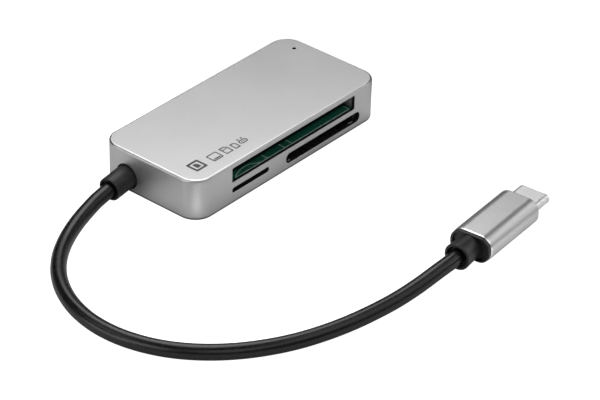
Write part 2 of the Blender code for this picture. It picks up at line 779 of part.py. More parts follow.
def smooth_route(route, count):
    """Evenly spaced points on a Catmull-Rom curve through the route's points."""
    ends = [route[0] * 2 - route[1], *route, route[-1] * 2 - route[-2]]
    fine = []
    for before, first, second, after in zip(ends, ends[1:], ends[2:], ends[3:]):
        for step in range(20):
            t = step / 20
            fine.append(
                (
                    first * 2
                    + (second - before) * t
                    + (before * 2 - first * 5 + second * 4 - after) * t**2
                    + (first * 3 - before - second * 3 + after) * t**3
                )
                / 2
            )
    fine.append(route[-1])
    reached = [0.0]
    for first, second in zip(fine, fine[1:]):
        reached.append(reached[-1] + (second - first).length)
    points = []
    segment = 0
    for number in range(count):
        wanted = reached[-1] * number / (count - 1)
        while segment < len(fine) - 2 and reached[segment + 1] < wanted:
            segment += 1
        share = (wanted - reached[segment]) / (reached[segment + 1] - reached[segment])
        points.append(fine[segment].lerp(fine[segment + 1], share))
    return points


def make_cable():
    points = smooth_route([Vector(point) for point in CABLE_ROUTE], CABLE_POINTS)
    place_object("cable", tube_curve("cable", points, CABLE_RADIUS), black_rubber())


def make_wires():
    """Four wires from the boot's inner face, up onto the board's left edge."""
    coats = (
        ("wire_power", (0.5, 0.02, 0.02)),
        ("wire_data_minus", (0.7, 0.7, 0.7)),
        ("wire_data_plus", (0.02, 0.3, 0.06)),
        ("wire_ground", (0.02, 0.02, 0.02)),
    )
    start_x = boot_axis(0.0)[0].x + END_GAP
    end_x = NOTCH_END_X + 1.2
    top_z = BOARD_TOP + PART_GAP + WIRE_RADIUS
    for number, (name, colour) in enumerate(coats):
        y = BOOT_Y + (number - 1.5) * WIRE_PITCH
        route = [
            Vector((start_x, y, BOOT_Z)),
            Vector((start_x + 1.5, y, BOOT_Z + 0.3)),
            Vector((NOTCH_END_X - 1.6, y, top_z + 0.1)),
            Vector((NOTCH_END_X, y, top_z + 0.1)),
            Vector((end_x, y, top_z)),
        ]
        place_object(name, tube_curve(name, smooth_route(route, 9), WIRE_RADIUS), wire_coat(name, colour))


# ---------------------------------------------------------------- plug


def plug_section(inset):
    return rounded_outline(SLEEVE_WIDTH - 2 * inset, SLEEVE_HEIGHT - 2 * inset, SLEEVE_CORNER - inset, 7)


def tongue_section(width, height, steps=7):
    return rounded_outline(width, height, 0.49 * height, steps)


def round_section(radius):
    """A circle with as many points as the plug's rounded sections have."""
    return rounded_outline(2 * radius, 2 * radius, 0.99 * radius, 7)


def make_plug_sleeve(anchor):
    edge = 0.2
    sleeve = stacked(
        "plug_sleeve",
        "X",
        [
            (0.0, plug_section(edge / 2)),
            (edge / 2, plug_section(0.0)),
            (SLEEVE_LENGTH - edge, plug_section(0.0)),
            (SLEEVE_LENGTH, plug_section(edge)),
        ],
    )
    made = place_object("plug_sleeve", sleeve, blasted_aluminium(), parent=anchor)
    hollow = prism("sleeve_hollow", plug_section(SLEEVE_WALL), "X", -1.0, SLEEVE_LENGTH - SLEEVE_FRONT_WALL)
    cut(made, tool("sleeve_hollow", hollow, parent=anchor))
    opening = tongue_section(TONGUE_WIDTH + 0.3, TONGUE_HEIGHT + 0.3)
    mouth = prism("sleeve_mouth", opening, "X", 15.0, SLEEVE_LENGTH + 1)
    cut(made, tool("sleeve_mouth", mouth, parent=anchor))


def make_plug_overmould(anchor):
    """A core inside the sleeve, a rounded cap behind it and a collar that widens towards the cable."""
    cap_back, cap_front, core_front = -0.9, -0.2, 17.0
    core = plug_section(SLEEVE_WALL + 0.2)
    body = stacked(
        "plug_overmould",
        "X",
        [
            (COLLAR_END + COLLAR_SOCKET_DEPTH, round_section(SOCKET_RADIUS)),
            (COLLAR_END, round_section(SOCKET_RADIUS)),
            (COLLAR_END, round_section(COLLAR_RADIUS - 0.2)),
            (COLLAR_END + 0.2, round_section(COLLAR_RADIUS)),
            (cap_back, round_section(COLLAR_NECK_RADIUS)),
            (cap_back, plug_section(0.2 + 0.08)),
            (cap_back + 0.25, plug_section(0.2)),
            (cap_front, plug_section(0.2)),
            (cap_front, core),
            (core_front, core),
        ],
    )
    made = place_object("plug_overmould", body, black_plastic(), parent=anchor)
    pocket = box("board_pocket", (9.0, -4.1, -0.7), (core_front + 1, 4.1, 0.7))
    cut(made, tool("board_pocket", pocket, parent=anchor))


def make_plug_inside(anchor):
    """The metal shell, the contact block in it with its two rows of contacts, and the board behind."""
    tip = SLEEVE_LENGTH + TONGUE_LENGTH
    shell_back = 17.6
    shell = place_object(
        "plug_shell",
        prism("plug_shell", tongue_section(TONGUE_WIDTH, TONGUE_HEIGHT), "X", shell_back, tip),
        plated_steel(),
        parent=anchor,
    )
    inner_width, inner_height = TONGUE_WIDTH - 2 * TONGUE_WALL, TONGUE_HEIGHT - 2 * TONGUE_WALL
    bore = prism("shell_bore", tongue_section(inner_width, inner_height), "X", shell_back - 1, tip + 1)
    cut(shell, tool("shell_bore", bore, parent=anchor))

    block_section = tongue_section(inner_width - 0.15, inner_height - 0.15)
    block = prism("plug_contact_block", block_section, "X", 17.3, tip - 0.3)
    made = place_object("plug_contact_block", block, black_plastic(), parent=anchor)
    cavity_back, cavity_width, cavity_height = tip - 6.0, 6.85, 0.9
    cavity = prism("block_cavity", tongue_section(cavity_width, cavity_height), "X", cavity_back, tip + 1)
    cut(made, tool("block_cavity", cavity, parent=anchor))

    contact_length, contact_thick, bar_depth = 4.6, 0.08, 0.3
    outline = [(-v, u) for u, v in comb_outline(12, 0.5, 0.22, contact_length, bar_depth)]
    for name, middle in (("plug_contacts_upper", 0.3), ("plug_contacts_lower", -0.3)):
        low, high = middle - contact_thick / 2, middle + contact_thick / 2
        comb = prism(name, outline, "Z", low, high)
        place_object(name, comb, gold_plate(), (cavity_back + 0.1 + bar_depth, 0, 0), parent=anchor)

    board = box("plug_board", (9.3, -3.9, -0.4), (17.0, 3.9, 0.4))
    place_object("plug_board", board, board_green(), parent=anchor)


def make_plug():
    """The plug is built along its own +X and stands on an empty at its sleeve's back end."""
    anchor = bpy.data.objects.new("plug_anchor", None)
    bpy.context.collection.objects.link(anchor)
    anchor.location = Vector((PLUG_X, PLUG_Y, SLEEVE_HEIGHT / 2)) * MM
    anchor.rotation_euler.z = math.radians(PLUG_YAW_DEG)
    make_plug_sleeve(anchor)
    make_plug_overmould(anchor)
    make_plug_inside(anchor)


# ---------------------------------------------------------------- the whole


def main():
    for old in list(bpy.data.objects):
        bpy.data.objects.remove(old, do_unlink=True)
    make_case_shell()
    make_base_plate()
    make_base_screws()
    make_main_board()
    make_board_parts()
    make_capacitors()
    make_wide_guides()
    make_wide_header()
    make_wide_pins()
    make_medium_socket()
    make_medium_contacts()
    make_medium_levers()
    make_small_socket()
    make_small_contacts()
    make_small_slider()
    make_small_spring()
    make_cable_boot()
    make_cable()
    make_wires()
    make_plug()


main()
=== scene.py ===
"""How the card reader looks: camera, light, materials and the pieces that the plain solids can't show.

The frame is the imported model's: metres, +X along the case away from the cable, -Y out of the card slots
and +Z up. Sizes are written in millimetres, and scaled by MM where a mesh, curve or light is made.
"""

import math

import bmesh
import bpy
from mathutils import Matrix, Vector


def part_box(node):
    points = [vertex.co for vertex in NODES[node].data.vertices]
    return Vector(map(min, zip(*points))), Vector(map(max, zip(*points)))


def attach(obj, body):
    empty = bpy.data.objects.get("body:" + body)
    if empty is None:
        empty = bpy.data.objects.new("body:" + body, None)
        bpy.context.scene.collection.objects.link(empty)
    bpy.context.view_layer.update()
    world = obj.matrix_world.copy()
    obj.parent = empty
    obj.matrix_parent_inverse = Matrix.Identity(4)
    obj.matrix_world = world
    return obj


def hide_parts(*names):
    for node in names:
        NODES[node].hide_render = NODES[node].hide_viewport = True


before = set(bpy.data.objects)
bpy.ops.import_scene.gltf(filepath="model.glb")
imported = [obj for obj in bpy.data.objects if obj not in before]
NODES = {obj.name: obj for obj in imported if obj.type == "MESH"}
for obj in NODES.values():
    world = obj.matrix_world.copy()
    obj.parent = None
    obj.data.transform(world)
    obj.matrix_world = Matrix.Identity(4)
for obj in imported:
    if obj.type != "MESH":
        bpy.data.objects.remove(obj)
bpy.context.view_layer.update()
HOUSING = "housing"
MM = 0.001


def node_size(name):
    """How long a CAD node is along each axis, in millimetres."""
    low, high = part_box(name)
    return [round((b - a) / MM, 3) for a, b in zip(low, high)]


def node_middle(name):
    """The middle of a CAD node's box, in millimetres."""
    low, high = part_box(name)
    return [round((a + b) / 2 / MM, 3) for a, b in zip(low, high)]


# Case
CASE_LENGTH, CASE_WIDTH, CASE_HEIGHT = node_size("case_shell")
CASE_CORNER, CASE_CORNER_STEPS = 4.9, 20
WALL = 0.8
TOP_EDGE = 0.6
BOTTOM_FILLET = 0.55
# Flats round the lower edge and the upper one, and how many of the upper ones are burnished and
# brightened further as a painted highlight
BOTTOM_STEPS, TOP_STEPS, BURNISHED_HIGHLIGHT_STEPS = 8, 12, 5
CABLE_END_X = -CASE_LENGTH / 2
FRONT_Y = -CASE_WIDTH / 2
ROOF = CASE_HEIGHT - WALL
# Painted shade along the walls' lower edge reaches up to here
PAINTED_SHADE_TOP = 1.0

# Card slots: centre, width, lowest and highest point, corner radius. Their lips are rounded.
SLOT_LIP = 0.14
SLOTS = {
    "wide_slot": (1.3, 44.0, 5.85, 9.65, 0.3),
    "medium_slot": (11.85, 27.1, 1.8, 4.5, 1.34),
    "small_slot": (-14.25, 12.85, 2.95, 4.25, 0.64),
}

# Holes for the lamp and the cable boot
LAMP_X, LAMP_Y, _ = node_middle("lamp_window")
LAMP_RADIUS = 0.5
_, BOOT_Y, BOOT_Z = node_middle("cable_boot")
BOOT_HOLE_RADIUS = 3.25

# Screw bosses inside the case, and their pilot holes
SCREW_X, SCREW_Y, _ = node_middle("base_screw_4")
BOSS_RADIUS, BOSS_BOTTOM = 1.55, 1.15
PILOT_RADIUS, PILOT_TOP = 0.95, 5.0
BOSS_SIDES = 24
SCREW_PLACES = [(x, y, 0) for x in (-SCREW_X, SCREW_X) for y in (-SCREW_Y, SCREW_Y)]

# Circuit board: green along its front, turned black by painted shade from the next line's Y back, over
# traces that wander a little
BOARD_TOP = round(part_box("main_board")[1][2] / MM, 3)
BOARD_SHADE_Y = -12.0
TRACE_PITCH, TRACE_WANDER = 1.27, 1.2
# What is printed on it: a line along its front, lines across, and a curve
BOARD_PRINT_FRONT_Y = -14.08
BOARD_PRINT_LEFT_X, BOARD_PRINT_RIGHT_X = -18.6, 22.55
BOARD_CROSS_LINES_X = (-7.25, -0.95, 1.6)
BOARD_CURVE = (
    (-18.6, -14.1),
    (-17.0, -13.2),
    (-14.4, -12.55),
    (-12.3, -12.6),
    (-10.8, -13.35),
    (-9.4, -14.0),
)
BOARD_LINE_WIDTH = 0.2

# Printing stands this thick, this far clear of the surface under it
INK_THICKNESS = 0.015
BOARD_INK_GAP, CASE_INK_GAP = 0.004, 0.003

# Pictograms on the case: the line's width, then places along the case and across it
PICTOGRAM_LINE = 0.34
BADGE_X, BADGE_Y = -26.5, -9.3
ROW_Y = -9.75
WIDE_CARD_X, MEDIUM_CARD_X, SMALL_CARD_X, PLUG_SIGN_X = -20.85, -17.0, -14.2, -11.4

# Springs and a guide post in the medium slot: the humps' two stretches along X, and the post's place
HUMP_WIDTH, HUMP_HEIGHT = 0.48, 0.2
HUMP_STRETCHES_X = ((22.4, 24.1), (0.2, 0.8))
HUMP_Y = -13.85
POST_X, POST_Y, POST_RADIUS = 24.95, -13.3, 0.38
SPRING_FLOOR, POST_TOP = 1.5, 4.1

# Boot: it starts inside the wall, behind a small gap, and bends just outside
BOOT_RADIUS = 2.92
BOOT_FLANGE = 1.0
BOOT_FLANGE_RADIUS = 3.6
BOOT_WALL_GAP = 0.15
BOOT_LENGTH = 6.5
BOOT_BEND_START = 0.5
BOOT_DROOP_DEG, BOOT_SWING_DEG = 3.7, 4.8
BOOT_MOUTH_EDGE, BOOT_THROAT_EDGE = 0.22, 0.12
BOOT_THROAT_GAP = 0.6
# Places of rings along its neck, close together where it bends
BOOT_NECK_RINGS = (0.3, 0.8, 1.3, 1.8, 2.6, 4.0, 5.5)
SOCKET_DEPTH = 1.0

# Cable, and its centre line's points from the boot to the plug
CABLE_RADIUS = 1.85
CABLE_POINTS = 150
CABLE_ROUTE = (
    (-38.7, 6.33, 3.6),
    (-42.6, 5.93, 3.25),
    (-45.9, 5.35, 2.95),
    (-52.5, 3.6, 2.35),
    (-58.95, 0.9, 1.95),
    (-64.8, -2.8, 1.9),
    (-69.8, -7.45, 1.9),
    (-73.75, -13.0, 1.9),
    (-76.5, -19.2, 1.9),
    (-77.9, -25.8, 1.9),
    (-77.85, -32.45, 1.9),
    (-76.4, -38.95, 1.9),
    (-73.7, -45.05, 1.9),
    (-69.8, -50.6, 1.9),
    (-64.95, -55.45, 1.9),
    (-59.4, -59.5, 1.9),
    (-53.4, -62.75, 1.9),
    (-47.0, -65.2, 1.9),
    (-40.4, -67.0, 1.9),
    (-33.75, -68.2, 1.9),
    (-27.0, -69.0, 1.95),
    (-20.3, -69.55, 2.4),
    (-13.5, -69.85, 3.05),
    (-9.4, -69.95, 3.33),
    (-6.05, -69.75, 3.4),
)

# Plug, from its sleeve's back end along its own +X
PLUG_PLACE = (-0.95, -69.35, 3.4)
PLUG_YAW_DEG = 4.5
SECTION_STEPS = 14
SLEEVE_WIDTH, SLEEVE_HEIGHT, SLEEVE_LENGTH = 10.8, 6.8, 20.0
SLEEVE_CORNER = 3.1
SLEEVE_WALL = 0.6
SLEEVE_FRONT_WALL = 0.8
COLLAR_RADIUS, COLLAR_NECK_RADIUS = 3.3, 2.95
COLLAR_END = -6.2
COLLAR_SOCKET_DEPTH = 1.4
TONGUE_WIDTH, TONGUE_HEIGHT = 8.25, 2.4
TONGUE_WALL = 0.3
TONGUE_LENGTH = 6.65
TONGUE_BACK = 17.6

# Camera: its direction in degrees, its distance, and its shift to the right and up from the aim
CAMERA_AZIMUTH, CAMERA_ELEVATION, CAMERA_ROLL = -50.308, 33.208, 1.419
CAMERA_DISTANCE = 677.47
CAMERA_RIGHT, CAMERA_UP = 13.637, -13.055
CAMERA_LENS, CAMERA_SENSOR = 170.46, 36.0
CAMERA_NEAR, CAMERA_FAR = 10.0, 10000.0
AIM = Vector((0.09, 0.02, 0.0))

# Softboxes round the object: name, azimuth anticlockwise from +X, elevation, width, height and watts
LIGHT_AIM, LIGHT_DISTANCE = Vector((-20, -25, 5)), 400
SOFTBOXES = (
    ("softbox_back", 50, 57, 300, 270, 0.75),
    ("softbox_top", 70, 80, 120, 120, 0.12),
    ("softbox_right", 332, 9, 200, 110, 0.105),
    ("softbox_right_high", 335, 40, 120, 120, 0.04),
    ("softbox_near", 318, 34, 100, 100, 0.02),
    ("softbox_front", 298, 30, 170, 170, 0.06),
    ("softbox_front_high", 300, 56, 200, 170, 0.09),
    ("softbox_front_left", 270, 40, 170, 170, 0.08),
    ("softbox_left", 180, 27, 200, 170, 0.21),
    ("softbox_left_low", 155, 10, 260, 110, 0.22),
    ("softbox_left_high", 140, 44, 170, 170, 0.09),
    ("softbox_camera", 232, 38, 220, 200, 0.15),
)
# A small strip lamp that brightens the plug's near edge, the same way
PLUG_STRIP = ("strip_plug", 320, 32, 60, 20, 0.0033)
PLUG_STRIP_AIM, PLUG_STRIP_DISTANCE = Vector((9, -69, 5)), 60

# Floor: half its width, how far it lies below the object, and how light and how bright it is
FLOOR_REACH, FLOOR_DROP = 900.0, 0.05
FLOOR_SHADE, FLOOR_GLOW = 0.8, 0.01
WORLD_GLOW = 0.02
# Black painted shade on the floor's far side: its direction, where it fades in, and its shade
FAR_DIRECTION = (0.66, 0.75, 0.0)
FAR_SHADE_START, FAR_SHADE_FULL, FAR_SHADE_GREY = 12.0, 26.0, 0.06
# Round patches of painted shade on the floor behind the plug and inside the cable's loop: centre, radius,
# share of the light kept
ROUND_FLOOR_SHADES = (
    ((24.0, -54.0, 0.0), 26.0, 0.1),
    ((-62.0, -22.0, 0.0), 22.0, 0.1),
)
# Pools of bounced light on the floor: centre, radius, strength
POOLS = (
    ((-38.0, -22.0, 0.0), 15.0, 0.08),
    ((-36.5, -19.5, 0.0), 8.0, 0.62),
    ((-46.0, -4.0, 0.0), 18.0, 0.08),
    ((-10.0, -26.0, 0.0), 24.0, 0.09),
    ((-40.0, -54.0, 0.0), 15.0, 0.6),
    ((12.0, -92.0, 0.0), 30.0, 0.55),
)


# ---------------------------------------------------------------- camera, light, floor


def view_axes():
    """The camera's right, up and backward directions."""
    angles = (CAMERA_AZIMUTH, CAMERA_ELEVATION, CAMERA_ROLL)
    azimuth, elevation, roll = (math.radians(angle) for angle in angles)
    back = Vector(
        (
            math.sin(azimuth) * math.cos(elevation),
            -math.cos(azimuth) * math.cos(elevation),
            math.sin(elevation),
        )
    )
    level = Vector((0, 0, 1)).cross(back).normalized()
    upright = back.cross(level)
    right = level * math.cos(roll) + upright * math.sin(roll)
    return right, back.cross(right), back


def make_camera():
    """A long lens, far off, that looks at the corner between the cable's end and the slots."""
    right, up, back = view_axes()
    data = bpy.data.cameras.new("camera")
    data.lens = CAMERA_LENS
    data.sensor_width = CAMERA_SENSOR
    data.clip_start = CAMERA_NEAR * MM
    data.clip_end = CAMERA_FAR * MM
    camera = bpy.data.objects.new("camera", data)
    bpy.context.scene.collection.objects.link(camera)
    place = AIM + back * CAMERA_DISTANCE + right * CAMERA_RIGHT + up * CAMERA_UP
    turn = Matrix((right, up, back)).transposed().to_4x4()
    camera.matrix_world = Matrix.Translation(place * MM) @ turn
    bpy.context.scene.camera = camera


def softbox(name, azimuth_deg, elevation_deg, width, height, power, aim, distance):
    """A soft rectangular lamp that faces a point from a distance, unseen by the camera."""
    azimuth, elevation = math.radians(azimuth_deg), math.radians(elevation_deg)
    direction = Vector(
        (
            math.cos(azimuth) * math.cos(elevation),
            math.sin(azimuth) * math.cos(elevation),
            math.sin(elevation),
        )
    )
    data = bpy.data.lights.new(name, "AREA")
    data.shape = "RECTANGLE"
    data.size = width * MM
    data.size_y = height * MM
    data.energy = power
    lamp = bpy.data.objects.new(name, data)
    bpy.context.scene.collection.objects.link(lamp)
    lamp.rotation_euler = (-direction).to_track_quat("-Z", "Y").to_euler()
    lamp.location = (aim + direction * distance) * MM
    lamp.visible_camera = False


def make_lights():
    for lamp in SOFTBOXES:
        softbox(*lamp, LIGHT_AIM, LIGHT_DISTANCE)
    softbox(*PLUG_STRIP, PLUG_STRIP_AIM, PLUG_STRIP_DISTANCE)


def by_camera(g, unseen, seen):
    """One value for what the object and floor receive, and another for what the camera sees."""
    return g.remap(g.node("ShaderNodeLightPath").outputs["Is Camera Ray"], unseen, seen)


def make_world():
    """White to the camera and almost dark to the object: the softboxes do the work."""
    world = bpy.data.worlds.new("studio")
    bpy.context.scene.world = world
    g = Graph(world, "ShaderNodeOutputWorld")
    strength = by_camera(g, WORLD_GLOW, 1.0)
    background = g.node("ShaderNodeBackground", Color=(1, 1, 1, 1), Strength=strength)
    g.join(background.outputs[0], g.output.inputs["Surface"])


def floor_glow(g):
    """The floor's own light: overexposed to the camera, and to the object faint except for the pools."""
    glow = FLOOR_GLOW
    for centre, radius, strength in POOLS:
        glow = g.math("ADD", glow, g.round_patch(centre, radius, strength, 0.0))
    return g.node("ShaderNodeEmission", Color=(1, 1, 1, 1), Strength=by_camera(g, glow, 1.0))


def floor_shade(g):
    """The floor's grey: pale, with round patches of painted shade, and black painted shade on the far
    side.

    The far side's painted shade draws a dark line round the object's far edges.
    """
    beyond = g.node("ShaderNodeVectorMath")
    beyond.operation = "DOT_PRODUCT"
    g.join(g.position(), beyond.inputs[0])
    beyond.inputs[1].default_value = FAR_DIRECTION
    far_shade = g.node("ShaderNodeMapRange", To_Min=FLOOR_SHADE, To_Max=FAR_SHADE_GREY)
    far_shade.interpolation_type = "SMOOTHSTEP"
    g.join(beyond.outputs["Value"], far_shade.inputs["Value"])
    far_shade.inputs["From Min"].default_value = FAR_SHADE_START * MM
    far_shade.inputs["From Max"].default_value = FAR_SHADE_FULL * MM
    shade = far_shade.outputs["Result"]
    # Round patches of painted shade on the floor
    for centre, radius, kept in ROUND_FLOOR_SHADES:
        shade = g.math("MULTIPLY", shade, g.round_patch(centre, radius, kept, 1.0))
    return g.node("ShaderNodeBsdfDiffuse", Color=shade)


def make_floor():
    """A plain white sweep that the object lies on."""
    reach = FLOOR_REACH * MM
    mesh = bpy.data.meshes.new("floor")
    corners = [(-reach, -reach, 0), (reach, -reach, 0), (reach, reach, 0), (-reach, reach, 0)]
    mesh.from_pydata(corners, [], [(0, 1, 2, 3)])
    floor = bpy.data.objects.new("floor", mesh)
    floor.location.z = -FLOOR_DROP * MM
    bpy.context.scene.collection.objects.link(floor)
    g = material_graph("floor_white")
    both = g.node("ShaderNodeAddShader")
    g.join(floor_glow(g).outputs[0], both.inputs[0])
    g.join(floor_shade(g).outputs[0], both.inputs[1])
    g.join(both.outputs[0], g.output.inputs["Surface"])
    mesh.materials.append(g.owner)


# ---------------------------------------------------------------- material graphs


class Graph:
    """A material's node tree, with short ways to add, set and join nodes."""

    def __init__(self, owner, output="ShaderNodeOutputMaterial"):
        owner.use_nodes = True
        self.owner = owner
        self.tree = owner.node_tree
        self.tree.nodes.clear()
        self.output = self.tree.nodes.new(output)

    def join(self, source, target):
        self.tree.links.new(source, target)

    def put(self, target, value):
        """Joins a socket, or sets a plain value."""
        if isinstance(value, bpy.types.NodeSocket):
            self.join(value, target)
        elif isinstance(value, bpy.types.Node):
            self.join(value.outputs[0], target)
        else:
            target.default_value = value

    def node(self, kind, **inputs):
        made = self.tree.nodes.new(kind)
        for name, value in inputs.items():
            self.put(made.inputs[name.replace("_", " ")], value)
        return made

    def math(self, operation, first, second=0.0, third=0.0):
        made = self.tree.nodes.new("ShaderNodeMath")
        made.operation = operation
        for target, value in zip(made.inputs, (first, second, third)):
            self.put(target, value)
        return made.outputs[0]

    def position(self):
        """The point in the row frame at rest, in metres."""
        return self.node("ShaderNodeTexCoord").outputs["Object"]

    def stretched(self, scale):
        """The position, scaled differently along each axis."""
        mapping = self.node("ShaderNodeMapping")
        self.join(self.position(), mapping.inputs["Vector"])
        mapping.inputs["Scale"].default_value = scale
        return mapping.outputs[0]

    def axis(self, name):
        """One coordinate of the position."""
        split = self.node("ShaderNodeSeparateXYZ")
        self.join(self.position(), split.inputs[0])
        return split.outputs[name]

    def round_patch(self, centre, radius, inside, outside):
        """One value at a place, turning into another at a distance from it. Millimetres."""
        away = self.node("ShaderNodeVectorMath")
        away.operation = "DISTANCE"
        self.join(self.position(), away.inputs[0])
        away.inputs[1].default_value = Vector(centre) * MM
        patch = self.node("ShaderNodeMapRange", To_Min=inside, To_Max=outside)
        patch.interpolation_type = "SMOOTHSTEP"
        self.join(away.outputs["Value"], patch.inputs["Value"])
        patch.inputs["From Max"].default_value = radius * MM
        return patch.outputs["Result"]

    def mix(self, first, second, factor, how="MIX"):
        """Two colours mixed by a factor, or combined in another way."""
        made = self.node("ShaderNodeMix")
        made.data_type = "RGBA"
        made.blend_type = how
        self.put(made.inputs["Factor"], factor)
        self.put(made.inputs["A"], first)
        self.put(made.inputs["B"], second)
        return made.outputs["Result"]

    def multiply(self, first, second):
        """Two colours multiplied."""
        return self.mix(first, second, 1.0, "MULTIPLY")

    def noise(self, scale, detail, vector=None):
        made = self.node("ShaderNodeTexNoise", Scale=scale, Detail=detail)
        self.put(made.inputs["Vector"], vector or self.position())
        return made.outputs["Fac"]

    def ramp(self, fac, stops):
        """A colour ramp through (place, grey or colour) stops."""
        made = self.node("ShaderNodeValToRGB")
        self.put(made.inputs["Fac"], fac)
        elements = made.color_ramp.elements
        while len(elements) < len(stops):
            elements.new(0.5)
        for element, (place, shade) in zip(elements, stops):
            element.position = place
            colour = (shade, shade, shade) if isinstance(shade, (int, float)) else shade
            element.color = (*colour, 1.0)
        return made.outputs["Color"]

    def remap(self, fac, low, high):
        """A factor from 0 to 1 brought into a range."""
        made = self.node("ShaderNodeMapRange")
        self.put(made.inputs["Value"], fac)
        self.put(made.inputs["To Min"], low)
        self.put(made.inputs["To Max"], high)
        return made.outputs["Result"]

    def bump(self, height, depth, strength):
        """A bump whose full height is depth metres."""
        made = self.node("ShaderNodeBump", Height=height, Strength=strength, Distance=depth)
        return made.outputs["Normal"]

    def surface(self, **inputs):
        """A Principled surface as the material's output. Input names take _ for a space."""
        shader = self.node("ShaderNodeBsdfPrincipled", **inputs)
        self.join(shader.outputs[0], self.output.inputs["Surface"])
        return self.owner


def material_graph(name):
    return Graph(bpy.data.materials.new(name))


def blasted_aluminium(name, roughness=0.42, speckle_dark=0.9, painted_shade_height=0.0, gain=1.0):
    """Clear-anodised aluminium, bead-blasted: a fine even grain over faint cloudy patches.

    The height given for the lower edge darkens the colour towards the bottom, up to that height, as
    painted shade. gain brightens the whole.
    """
    g = material_graph(name)
    grain = g.noise(5200, 3)
    clouds = g.noise(70, 3)
    low = tuple(gain * channel for channel in (0.650, 0.645, 0.647))
    high = tuple(gain * channel for channel in (0.672, 0.666, 0.668))
    colour = g.ramp(clouds, [(0.3, low), (0.7, high)])
    speckle = g.ramp(grain, [(0.3, speckle_dark), (0.7, 1.0)])
    colour = g.multiply(colour, speckle)
    # Painted shade: the colour darkens towards the bottom of the walls
    if painted_shade_height:
        height = g.math("DIVIDE", g.axis("Z"), painted_shade_height * MM)
        colour = g.multiply(colour, g.ramp(height, [(0.45, 0.2), (0.9, 1.0)]))
    return g.surface(
        Base_Color=colour,
        Metallic=1.0,
        Roughness=g.remap(clouds, roughness - 0.02, roughness + 0.02),
        Normal=g.bump(grain, 0.012 * MM, 0.5),
    )


def polished_aluminium():
    """Aluminium turned bright, with faint tool lines."""
    g = material_graph("polished_aluminium")
    lines = g.noise(9000, 2)
    return g.surface(
        Base_Color=g.ramp(lines, [(0.3, 0.90), (0.7, 0.95)]),
        Metallic=1.0,
        Roughness=g.remap(lines, 0.24, 0.32),
        Normal=g.bump(lines, 0.003 * MM, 0.3),
    )


def painted_shade_black():
    """Near-black painted shade for the case's inner faces and the faces cut for slots and holes."""
    g = material_graph("painted_shade_black")
    patches = g.noise(900, 3)
    return g.surface(
        Base_Color=g.ramp(patches, [(0.3, 0.010), (0.7, 0.020)]),
        Metallic=0.3,
        Roughness=g.remap(patches, 0.5, 0.7),
        Normal=g.bump(patches, 0.02 * MM, 0.4),
    )


def moulded_black(name, shade=0.016, roughness=0.42):
    """Hard black plastic with a spark-eroded mould texture."""
    g = material_graph(name)
    texture = g.noise(6500, 3)
    return g.surface(
        Base_Color=g.ramp(g.noise(400, 2), [(0.3, shade * 0.8), (0.7, shade * 1.3)]),
        Roughness=g.remap(texture, roughness - 0.06, roughness + 0.08),
        Normal=g.bump(texture, 0.012 * MM, 0.6),
    )


def cable_rubber(name, shade=0.006, roughness=0.27):
    """Soft black cable sheath: faint mottling and a satin skin."""
    g = material_graph(name)
    mottle = g.noise(900, 4)
    skin = g.noise(4200, 3)
    return g.surface(
        Base_Color=g.ramp(mottle, [(0.3, shade * 0.75), (0.7, shade * 1.35)]),
        Roughness=g.remap(mottle, roughness - 0.06, roughness + 0.12),
        Normal=g.bump(skin, 0.014 * MM, 0.6),
    )


def plated_steel(name, shade=0.62, roughness=0.26):
    """Nickel-plated sheet with faint rolling lines."""
    g = material_graph(name)
    rolled = g.noise(1.0, 3, g.stretched((900, 9000, 9000)))
    return g.surface(
        Base_Color=g.ramp(rolled, [(0.3, shade * 0.94), (0.7, shade * 1.05)]),
        Metallic=1.0,
        Roughness=g.remap(rolled, roughness - 0.05, roughness + 0.08),
        Normal=g.bump(rolled, 0.004 * MM, 0.5),
    )


def gold_plate():
    """Gold-plated contacts, a little worn."""
    g = material_graph("gold_plate")
    wear = g.noise(2500, 3)
    return g.surface(
        Base_Color=g.ramp(wear, [(0.3, (0.80, 0.56, 0.22)), (0.7, (0.90, 0.68, 0.32))]),
        Metallic=1.0,
        Roughness=g.remap(wear, 0.18, 0.32),
        Normal=g.bump(wear, 0.003 * MM, 0.4),
    )


def circuit_board():
    """Green solder mask over copper traces that run back from the front edge, turned black further in by
    painted shade where the roof shades it.
    """
    g = material_graph("circuit_board")
    bent = g.math("MULTIPLY_ADD", g.noise(160, 2), TRACE_WANDER * MM, g.axis("X"))
    phase = g.math("MULTIPLY", bent, 2 * math.pi / (TRACE_PITCH * MM))
    trace = g.math("GREATER_THAN", g.math("SINE", phase), 0.35)
    patches = g.math("GREATER_THAN", g.noise(120, 1), 0.45)
    copper = g.math("MULTIPLY", trace, patches)
    green = g.ramp(copper, [(0.0, (0.012, 0.115, 0.075)), (1.0, (0.020, 0.165, 0.110))])
    # Painted shade: the board goes near black further in, under the roof
    in_painted_shade = g.math("GREATER_THAN", g.axis("Y"), BOARD_SHADE_Y * MM)
    return g.surface(
        Base_Color=g.mix(green, (0.003, 0.012, 0.009, 1.0), in_painted_shade),
        Roughness=g.remap(g.noise(700, 2), 0.26, 0.38),
        Normal=g.bump(copper, 0.03 * MM, 0.5),
    )


def board_ink():
    """Pale green screen printing."""
    g = material_graph("board_ink")
    grain = g.noise(4000, 2)
    return g.surface(
        Base_Color=g.ramp(grain, [(0.3, (0.55, 0.78, 0.70)), (0.7, (0.68, 0.88, 0.80))]),
        Roughness=g.remap(grain, 0.5, 0.65),
        Normal=g.bump(grain, 0.005 * MM, 0.5),
    )


def case_ink():
    """Dark grey pad printing."""
    g = material_graph("case_ink")
    grain = g.noise(3500, 3)
    return g.surface(
        Base_Color=g.ramp(grain, [(0.3, 0.055), (0.7, 0.085)]),
        Roughness=g.remap(grain, 0.5, 0.65),
        Normal=g.bump(grain, 0.004 * MM, 0.5),
    )


